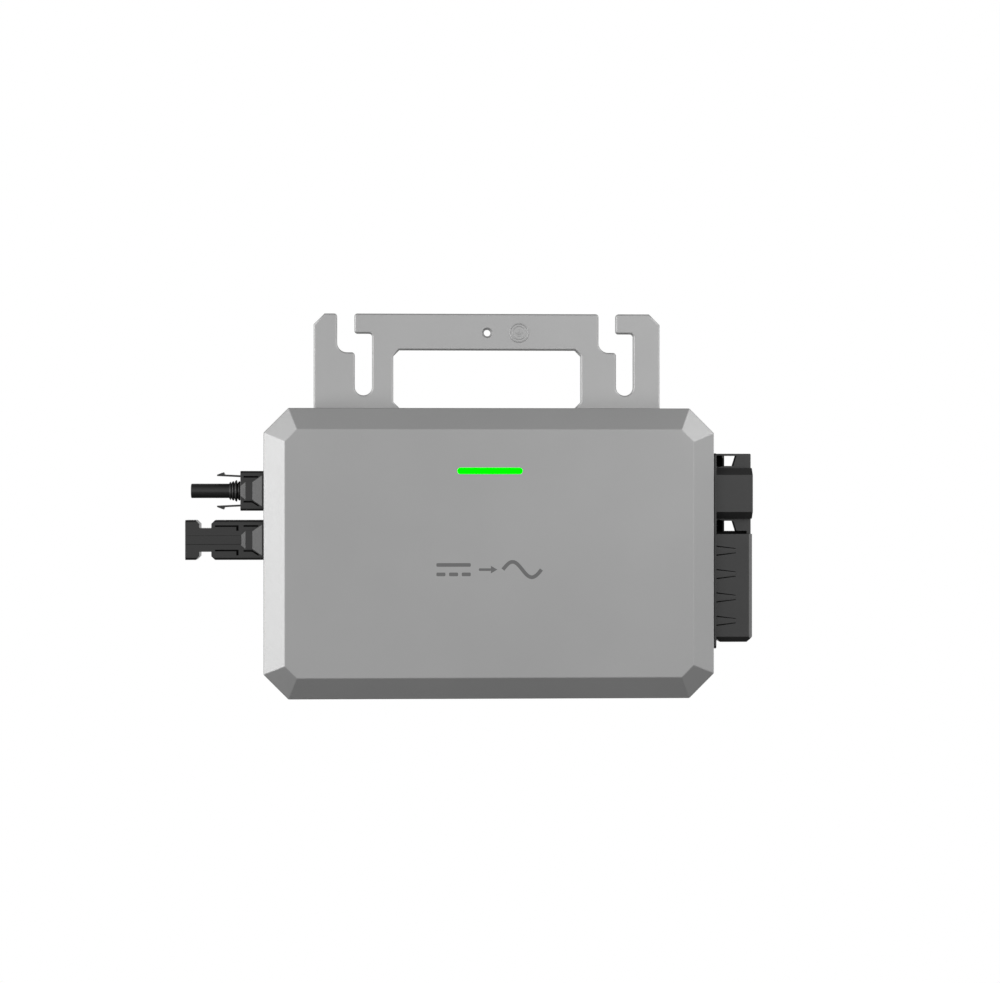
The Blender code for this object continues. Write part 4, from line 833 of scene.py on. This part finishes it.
# %% Nose seal
seal_low, seal_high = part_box("dc_plug_seal")
seal_black = finish("moulded seal rubber", (0.020, 0.020, 0.020), 0.34, grain=1500.0, bump=0.06,
                    specular=0.6)
VALLEY = 3.75 * MM
seal_rings = [(seal_low.x, VALLEY)]
for start, radius in ((0.02, 4.6), (1.50, 5.1), (2.90, 4.6)):
    left = seal_low.x + start * MM
    seal_rings += [(left + 0.02 * MM, VALLEY), (left + 0.05 * MM, (radius - 0.75) * MM),
                   (left + 0.38 * MM, (radius - 0.28) * MM), (left + 0.60 * MM, (radius - 0.07) * MM),
                   (left + 0.80 * MM, radius * MM), (left + 1.00 * MM, (radius - 0.07) * MM),
                   (left + 1.18 * MM, (radius - 0.3) * MM), (left + 1.22 * MM, VALLEY)]
seal = stack("nose_seal", 64, axis_point, seal_rings)
SEAL_BORE = 3.45 * MM
seal_bore_rings = [(seal_low.x - 1 * MM, SEAL_BORE), (seal_high.x + 1 * MM, SEAL_BORE)]
cut(seal, stack("seal_bore", 64, axis_point, seal_bore_rings))
smooth(dress(seal, seal_black), 40)
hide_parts("dc_plug_seal")
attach(seal, "housing")

# %% [markdown]
# The socket, the lower connector, is a long square barrel. A notch on each side takes the mating
# latch, and the notch's outer edges are cut at 45 degrees, so its cutter flares outwards.

# %% DC socket: barrel and notches
MOUTH = socket_low.x
NOTCH_START = 6.6 * MM
NOTCH_LENGTH = 5.6 * MM
NOTCH_FLOOR = 5.5 * MM
NOTCH_SHOULDER = 7.6 * MM
NOTCH_FLARE = 2.2 * MM
SOCKET_SLITS = [(13.9, 24.9, 6.1, 6.9), (23.8, 24.9, 4.3, 6.5), (13.9, 24.9, -5.3, -4.5),
                (23.8, 24.9, -7.2, -4.9)]
socket_point = Vector((0, plug_axis.y, socket_axis.z))
socket = foot("socket_moulding", socket_point, MOUTH)


def notch_tool(side):
    left, right = MOUTH + NOTCH_START, MOUTH + NOTCH_START + NOTCH_LENGTH
    inner, shoulder = NOTCH_FLOOR * side, NOTCH_SHOULDER * side
    low, high = sorted((socket_point.z + inner, socket_point.z + shoulder))
    tool = box("notch", (left, socket_point.y - 12 * MM, low), (right, socket_point.y + 12 * MM, high))
    pick_faces(tool, lambda centre, normal: normal.z * side > 0.9)
    bpy.ops.mesh.extrude_region_move(TRANSFORM_OT_translate={"value": (0, 0, NOTCH_FLARE * side)})
    widen = (NOTCH_LENGTH + 2 * NOTCH_FLARE) / NOTCH_LENGTH
    bpy.ops.transform.resize(value=(widen, 1, 1), center_override=((left + right) / 2, socket_point.y, 0))
    return done(tool)


cut(socket, notch_tool(1), notch_tool(-1))
print("socket faces after the notches:", len(socket.data.polygons))

# %% [markdown]
# Shadow grooves, a low ridge along the front and the same core as the plug's follow. The bore is
# stepped: wide for the mating nose, narrow round the contact.

# %% DC socket: grooves, ridge and bore
for numbers in SOCKET_SLITS:
    cut(socket, box("groove", *slit(socket_point, *numbers, MOUTH)))
ridge = box("ridge", (MOUTH + 0.1 * MM, socket_point.y - BLOCK_DEPTH - 0.35 * MM, socket_point.z - 2.15 * MM),
            (BLOCK_END + 0.4 * MM, socket_point.y + BLOCK_DEPTH + 0.35 * MM, socket_point.z + 2.15 * MM))
join(socket, soften(ridge, 0.3 * MM, 3), core("socket_core", socket_point))
neck_rings = [(LEFT - 4 * MM, NECK_RADIUS), (socket_high.x, NECK_RADIUS)]
join(socket, stack("socket_neck", 64, socket_point, neck_rings))
cut(socket, stack("socket_bore", 64, socket_point, [
    (MOUTH - 1 * MM, 6.4 * MM), (MOUTH, 5.6 * MM), (MOUTH + 0.3 * MM, 5.3 * MM), (MOUTH + 24 * MM, 5.3 * MM),
    (MOUTH + 24.01 * MM, 3.0 * MM), (socket_high.x + 1 * MM, 3.0 * MM)]))
dress(socket, dc_plastic_shaded)
# The faces inside all the grooves of the socket get painted shade, the dark recess material.
socket_spaces = foot_spaces(socket_point)
for numbers in SOCKET_SLITS:
    low, high = slit(socket_point, *numbers, MOUTH)
    socket_spaces.append(((low[0], low[1] + 1.1 * MM, low[2]), high))
print("painted shade faces:", paint_recess_shade(socket, socket_spaces))
smooth(socket)
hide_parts("dc_socket_body")
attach(socket, "housing")
print("plug and socket faces:", len(plug.data.polygons), len(socket.data.polygons))

# %% [markdown]
# The latch arms are thin springs of the same plastic.
# The imported solids already have the true barb, and only take the finish.

# %% Latch arms
for name in ("latch_arm_upper", "latch_arm_lower"):
    dress(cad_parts[name], dc_plastic_shaded)

# %% [markdown]
# ## The AC receptacle
# One black moulding: a stepped flange on the wall, a barrel with cut corners for three pins, a thin
# web above and below it with a latch window in each, and a ribbed guide block underneath. Each part
# starts as its own box with its own rounded edges, so the joints between them stay crisp.

# %% AC receptacle: flange, web, barrel, guide block
AC_Y = (ac_low.y + ac_high.y) / 2
AC_FRONT, AC_BACK = AC_Y - 10.0 * MM, AC_Y + 10.0 * MM
AC_TOP = ac_high.z
FLANGE_EDGE = RIGHT + GAP + 1.1 * MM
FLANGE_FACE = RIGHT + 2.4 * MM
BARREL_LOW, BARREL_HIGH = AC_TOP - 30.9 * MM, AC_TOP - 6.9 * MM
BARREL_MIDDLE = (BARREL_LOW + BARREL_HIGH) / 2
BARREL_END = ac_high.x
GUIDE_TOP, GUIDE_BOTTOM = AC_TOP - 38.0 * MM, AC_TOP - 89.0 * MM
GUIDE_END = RIGHT + 18.7 * MM
WEB_FRONT, WEB_BACK = AC_Y - 3.5 * MM, AC_Y + 3.5 * MM
BARREL_CUT = 3.3 * MM
GUIDE_CUT = 2.5 * MM
flange = box("ac_moulding", (RIGHT + GAP, ac_low.y, ac_low.z), (FLANGE_EDGE, ac_high.y, AC_TOP))
bevel_edges(flange, lambda a, b: near(a.y, b.y) and near(a.z, b.z), 1.5 * MM, 3)
soften(flange, 0.25 * MM, 2)
step = box("ac_step", (RIGHT + 0.6 * MM, AC_FRONT + 3.6 * MM, GUIDE_BOTTOM + 1 * MM),
           (FLANGE_FACE, AC_BACK - 3.6 * MM, AC_TOP - 1.5 * MM))
web = box("ac_web", (RIGHT + 1 * MM, WEB_FRONT, GUIDE_TOP - 1 * MM),
          (RIGHT + 18.8 * MM, WEB_BACK, AC_TOP - 0.1 * MM))
soften(web, 0.5 * MM, 3)
barrel = box("ac_barrel", (RIGHT + 1 * MM, AC_FRONT, BARREL_LOW), (BARREL_END, AC_BACK, BARREL_HIGH))
bevel_edges(barrel, lambda a, b: near(a.y, b.y) and near(a.z, b.z), BARREL_CUT)
bevel_edges(barrel, lambda a, b: near(a.x, BARREL_END) and near(b.x, BARREL_END), 0.45 * MM, 3)
guide = box("ac_guide", (RIGHT + 1 * MM, AC_FRONT, GUIDE_BOTTOM), (GUIDE_END, AC_BACK, GUIDE_TOP))
bevel_edges(guide, lambda a, b: near(a.z, GUIDE_BOTTOM) and near(b.z, GUIDE_BOTTOM), GUIDE_CUT)
bevel_edges(guide, lambda a, b: all(near(end.x, GUIDE_END) and end.y < AC_Y for end in (a, b)), 1.8 * MM)
soften(guide, 0.2 * MM, 2)
join(flange, step, web, barrel, guide)

# %% [markdown]
# The latch windows go right through the web. They are narrower beside the barrel, so their far wall
# leans. A pocket between flange and window gives the dark upright band, and a slot runs along the
# foot of the web above the guide block. The windows' far walls, the pockets and the slot get painted shade.

# %% AC receptacle: windows and pockets
WINDOW_LEFT = RIGHT + 6.1 * MM
WINDOW_LONG = 5.9 * MM
WINDOW_LEAN = 1.5 * MM
# dark_spaces holds the boxes whose faces get painted shade.
dark_spaces = []
for side in (1, -1):
    start = BARREL_MIDDLE + side * 13.0 * MM
    end = start + side * 4.8 * MM
    low, high = sorted((start, end))
    corners = ((WINDOW_LEFT, AC_Y - 5 * MM, low), (WINDOW_LEFT + WINDOW_LONG, AC_Y + 5 * MM, high))
    tool = box("latch_window", *corners)
    pick_edges(tool, lambda a, b: all(near(end.z, start) and end.x > WINDOW_LEFT + 1 * MM for end in (a, b)))
    bpy.ops.transform.translate(value=(-WINDOW_LEAN, 0, 0))
    done(tool)
    cut(flange, tool)
    wall_x = WINDOW_LEFT + WINDOW_LONG - WINDOW_LEAN
    dark_spaces.append(((wall_x, WEB_FRONT + 0.3 * MM, low), (corners[1][0], corners[1][1], high)))
    pocket = ((FLANGE_EDGE - 0.2 * MM, AC_Y - 11 * MM, low - 0.2 * MM),
              (RIGHT + 5.1 * MM, AC_Y + 2 * MM, high + 0.2 * MM))
    cut(flange, box("pocket", *pocket))
    dark_spaces.append(pocket)
slot = ((FLANGE_EDGE - 0.2 * MM, AC_Y - 11 * MM, GUIDE_TOP - 0.05 * MM),
        (RIGHT + 16.8 * MM, WEB_FRONT + 2.5 * MM, GUIDE_TOP + 1.4 * MM))
cut(flange, box("slot", *slot))
dark_spaces.append((slot[0], slot[1]))

# %% [markdown]
# Four tapering ribs stand on the guide block. Fine grooves along their flanks, with painted shade inside
# them, draw them as dark lines: each groove is a thin box whose outer end is moved towards the rib's axis.

# %% AC receptacle: ribs
RIB_LENGTH = 9.3 * MM
RIB_PITCH = 11.0 * MM
RIB_HALF = 1.9 * MM
FLANK_LEAN = 1.15 * MM
LINE_HALF = 0.28 * MM
for number in range(4):
    z = GUIDE_TOP - 7.9 * MM - RIB_PITCH * number
    rib = box("rib", (FLANGE_EDGE, AC_FRONT - 0.25 * MM, z - RIB_HALF),
              (FLANGE_EDGE + RIB_LENGTH, AC_FRONT + 0.8 * MM, z + RIB_HALF))
    pick_faces(rib, lambda centre, normal: normal.x > 0.9)
    bpy.ops.transform.resize(value=(1, 1, 0.44), center_override=(0, 0, z))
    done(rib)
    join(flange, soften(rib, 0.15 * MM, 2))
    for side in (1, -1):
        flank = z + side * 2.2 * MM
        line = ((FLANGE_EDGE - 0.2 * MM, AC_FRONT - 1 * MM, flank - LINE_HALF),
                (FLANGE_EDGE + RIB_LENGTH, AC_FRONT + 0.7 * MM, flank + LINE_HALF))
        tool = box("rib_line", *line)
        pick_faces(tool, lambda centre, normal: normal.x > 0.9)
        bpy.ops.transform.translate(value=(0, 0, -side * FLANK_LEAN))
        bpy.ops.transform.resize(value=(1, 1, 0.5), center_override=(0, 0, flank - side * FLANK_LEAN))
        done(tool)
        cut(flange, tool)
        # The inside of each groove gets painted shade.
        low = min(flank, flank - side * FLANK_LEAN) - LINE_HALF
        dark_spaces.append(((line[0][0], AC_FRONT + 0.15 * MM, low),
                            (line[1][0], line[1][1], low + 1.7 * MM)))

# %% [markdown]
# The barrel is hollow for the mating plug and the guide block has a pocket for its tongue. Three
# holes let the pins through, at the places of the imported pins.

# %% AC receptacle: cavities and pin holes
SHELL = 2.2 * MM
inner = box("ac_cavity", (BARREL_END - 15.0 * MM, AC_FRONT + SHELL, BARREL_LOW + SHELL),
            (BARREL_END + 1 * MM, AC_BACK - SHELL, BARREL_HIGH - SHELL))
bevel_edges(inner, lambda a, b: near(a.y, b.y) and near(a.z, b.z), 2.0 * MM)
guide_middle = (GUIDE_TOP + GUIDE_BOTTOM) / 2
POCKET_HALF = 13.5 * MM
pocket = box("guide_pocket", (GUIDE_END - 12 * MM, AC_FRONT + SHELL, guide_middle - POCKET_HALF),
             (GUIDE_END + 1 * MM, AC_BACK - SHELL, guide_middle + POCKET_HALF))
bevel_edges(pocket, lambda a, b: near(a.y, b.y) and near(a.z, b.z), 1.0 * MM, 3)
cut(flange, inner, pocket)
for label in ("line", "neutral", "earth"):
    pin_low, pin_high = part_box(f"ac_pin_{label}")
    place = (RIGHT - 1 * MM, AC_Y, (pin_low.z + pin_high.z) / 2)
    cut(flange, round_tool("pin_hole", place, 20 * MM, 1.8 * MM, 32))
dress(flange, black_plastic)
# The windows, pockets, slot and rib grooves get painted shade, the dark recess material.
print("painted shade faces:", paint_recess_shade(flange, dark_spaces))
smooth(flange)
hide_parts("ac_receptacle")
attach(flange, "housing")
print("receptacle faces:", len(flange.data.polygons))

# %% [markdown]
# ## Everything else
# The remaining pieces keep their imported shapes, because they are hidden inside or are plain turned
# parts. Each still gets a finish of its own: resin, ferrite, enamelled wire, printed board and so on.

# %% Finishes of the inner pieces
INNER = {
    "board": finish("green circuit board", (0.018, 0.13, 0.055), 0.40, drift=0.15, grain=900.0, bump=0.05),
    "resin": finish("potting resin", (0.028, 0.028, 0.032), 0.45, drift=0.2, grain=300.0, bump=0.08),
    "ferrite": finish("sintered ferrite", (0.055, 0.055, 0.06), 0.65, drift=0.15, grain=1200.0, bump=0.15),
    "copper": finish("enamelled copper", (0.50, 0.20, 0.07), 0.32, 0.9, drift=0.15, grain=700.0, bump=0.15),
    "sleeve": finish("capacitor sleeve", (0.03, 0.04, 0.09), 0.35, drift=0.08, coat=0.3),
    "film": finish("film capacitor case", (0.60, 0.38, 0.05), 0.42, drift=0.08),
    "relay": finish("relay case", (0.03, 0.06, 0.16), 0.35, drift=0.08, coat=0.2),
    "ceramic": finish("white ceramic", (0.74, 0.72, 0.66), 0.45, drift=0.05),
    "disc": finish("varistor coat", (0.03, 0.10, 0.38), 0.40, drift=0.12, bump=0.1),
    "chip": finish("chip case", (0.022, 0.022, 0.022), 0.55, drift=0.1, bump=0.08),
    "red": finish("red sleeve", (0.45, 0.02, 0.02), 0.45, drift=0.08),
    "brown": finish("brown sleeve", (0.13, 0.05, 0.02), 0.45, drift=0.08),
    "blue": finish("blue sleeve", (0.03, 0.08, 0.38), 0.45, drift=0.08),
    "green": finish("green sleeve", (0.16, 0.34, 0.04), 0.45, drift=0.08),
    "black": black_rubber,
}
BY_NAME = [
    ("screw", steel), ("pin_", tinned), ("contact_insert", black_rubber), ("contact", tinned),
    ("winding", INNER["copper"]), ("core", INNER["ferrite"]), ("capacitor_", INNER["sleeve"]),
    ("film", INNER["film"]), ("relay", INNER["relay"]), ("fuse", INNER["ceramic"]),
    ("status_led", INNER["ceramic"]), ("varistor", INNER["disc"]), ("transistor", INNER["chip"]),
    ("chip", INNER["chip"]), ("wireless", tinned), ("main_board", INNER["board"]),
    ("potting", INNER["resin"]), ("seal", black_rubber), ("gasket", black_rubber),
    ("nut", black_plastic),
    ("positive_lead", INNER["red"]), ("negative_lead", INNER["black"]), ("line_lead", INNER["brown"]),
    ("neutral_lead", INNER["blue"]), ("earth_lead", INNER["green"]),
]
replaced = {"front_housing", "back_plate", "led_light_pipe", "dc_plug_body", "dc_plug_seal", "dc_socket_body",
            "ac_receptacle", "latch_arm_upper", "latch_arm_lower"}
for name, node in sorted(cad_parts.items()):
    if name in replaced:
        continue
    found = [look for part, look in BY_NAME if part in name]
    dress(node, found[0])
print("inner pieces finished:", len(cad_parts) - len(replaced))

# %% [markdown]
# ## Camera
# A long lens from a little to the left, level with the upper part of the body.

# %% Camera
TURN = 0.0473
camera_data = bpy.data.cameras.new("camera")
camera_data.lens = 94.64
camera_data.sensor_width = 36.0
camera = bpy.data.objects.new("camera", camera_data)
camera.location = (-0.0533, -1.2589, 0.0290)
camera.rotation_euler = (math.pi / 2, 0.0, -TURN)
bpy.context.scene.collection.objects.link(camera)
bpy.context.scene.camera = camera

# %% [markdown]
# ## Studio
# White surroundings at eye level that fade above and below give the front its even tone and leave
# the upper and lower borders darker. A large soft lamp far to the left lights every surface that
# turns that way, and weaker ones fill from the right, the upper corners and the front. Only light
# sees this fade: the camera sees plain white all round, so every view has a plain background.

# %% World and floor
def studio_world():
    world = bpy.data.worlds.new("studio")
    world.use_nodes = True
    nodes, links = world.node_tree.nodes, world.node_tree.links
    background = nodes["Background"]
    direction = nodes.new("ShaderNodeTexCoord").outputs["Generated"]
    parts = nodes.new("ShaderNodeSeparateXYZ")
    links.new(direction, parts.inputs["Vector"])
    ramp = nodes.new("ShaderNodeValToRGB")
    height = nodes.new("ShaderNodeMapRange")
    height.inputs["From Min"].default_value = -1.0
    height.inputs["From Max"].default_value = 1.0
    links.new(parts.outputs["Z"], height.inputs["Value"])
    links.new(height.outputs["Result"], ramp.inputs["Fac"])
    stops = [(0.0, 0.05), (0.30, 0.10), (0.40, 1.0), (0.62, 1.0), (0.76, 0.50), (0.90, 0.36), (0.97, 0.04)]
    elements = ramp.color_ramp.elements
    while len(elements) < len(stops):
        elements.new(0.5)
    for element, (place, tone) in zip(elements, stops):
        element.position = place
        element.color = (tone, tone, tone, 1.0)
    seen = nodes.new("ShaderNodeLightPath").outputs["Is Camera Ray"]
    shown = mix_colour(nodes, links, seen, ramp.outputs["Color"], (1.0, 1.0, 1.0))
    links.new(shown, background.inputs["Color"])
    background.inputs["Strength"].default_value = 1.0
    bpy.context.scene.world = world


studio_world()
bpy.context.scene.view_settings.view_transform = "Standard"
bpy.ops.mesh.primitive_circle_add(vertices=96, radius=0.45, fill_type="NGON", location=(0, 0, -0.32))
floor = bpy.context.object
floor.name = "floor"
bpy.ops.object.transform_apply(location=True, rotation=True, scale=True)
dress(floor, finish("pale floor", (0.80, 0.80, 0.80), 0.6, drift=0.01, grain=200.0, bump=0.01))
floor.visible_diffuse = False
floor.visible_glossy = False


# %% [markdown]
# Each lamp is a soft box: a glowing rectangle that points at a target. The large one at the left
# is the main light. The small ones lift the upper corners and the right side.

# %% Lamps
def softbox(name, place, target, size, power):
    lamp = bpy.data.lights.new(name, "AREA")
    lamp.shape = "RECTANGLE"
    lamp.size, lamp.size_y = size
    lamp.energy = power
    obj = bpy.data.objects.new(name, lamp)
    obj.location = place
    obj.rotation_euler = (Vector(target) - Vector(place)).to_track_quat("-Z", "Y").to_euler()
    bpy.context.scene.collection.objects.link(obj)
    return obj


softbox("key_left", (-1.8, -1.3, 0.26), (0, 0, 0.0), (1.0, 1.7), 24.0)
softbox("side_right", (1.9, 0.25, 0.05), (0, 0, 0.02), (0.9, 1.2), 7.0)
softbox("upper_right", (0.75, -0.55, 0.55), (0, 0, 0.0), (0.35, 0.35), 1.8)
softbox("upper_left", (-0.60, -0.60, 0.62), (0, 0, 0.0), (0.35, 0.35), 0.7)
softbox("front_right", (0.55, -1.0, 0.30), (0.05, 0, 0.02), (0.6, 0.6), 1.5)
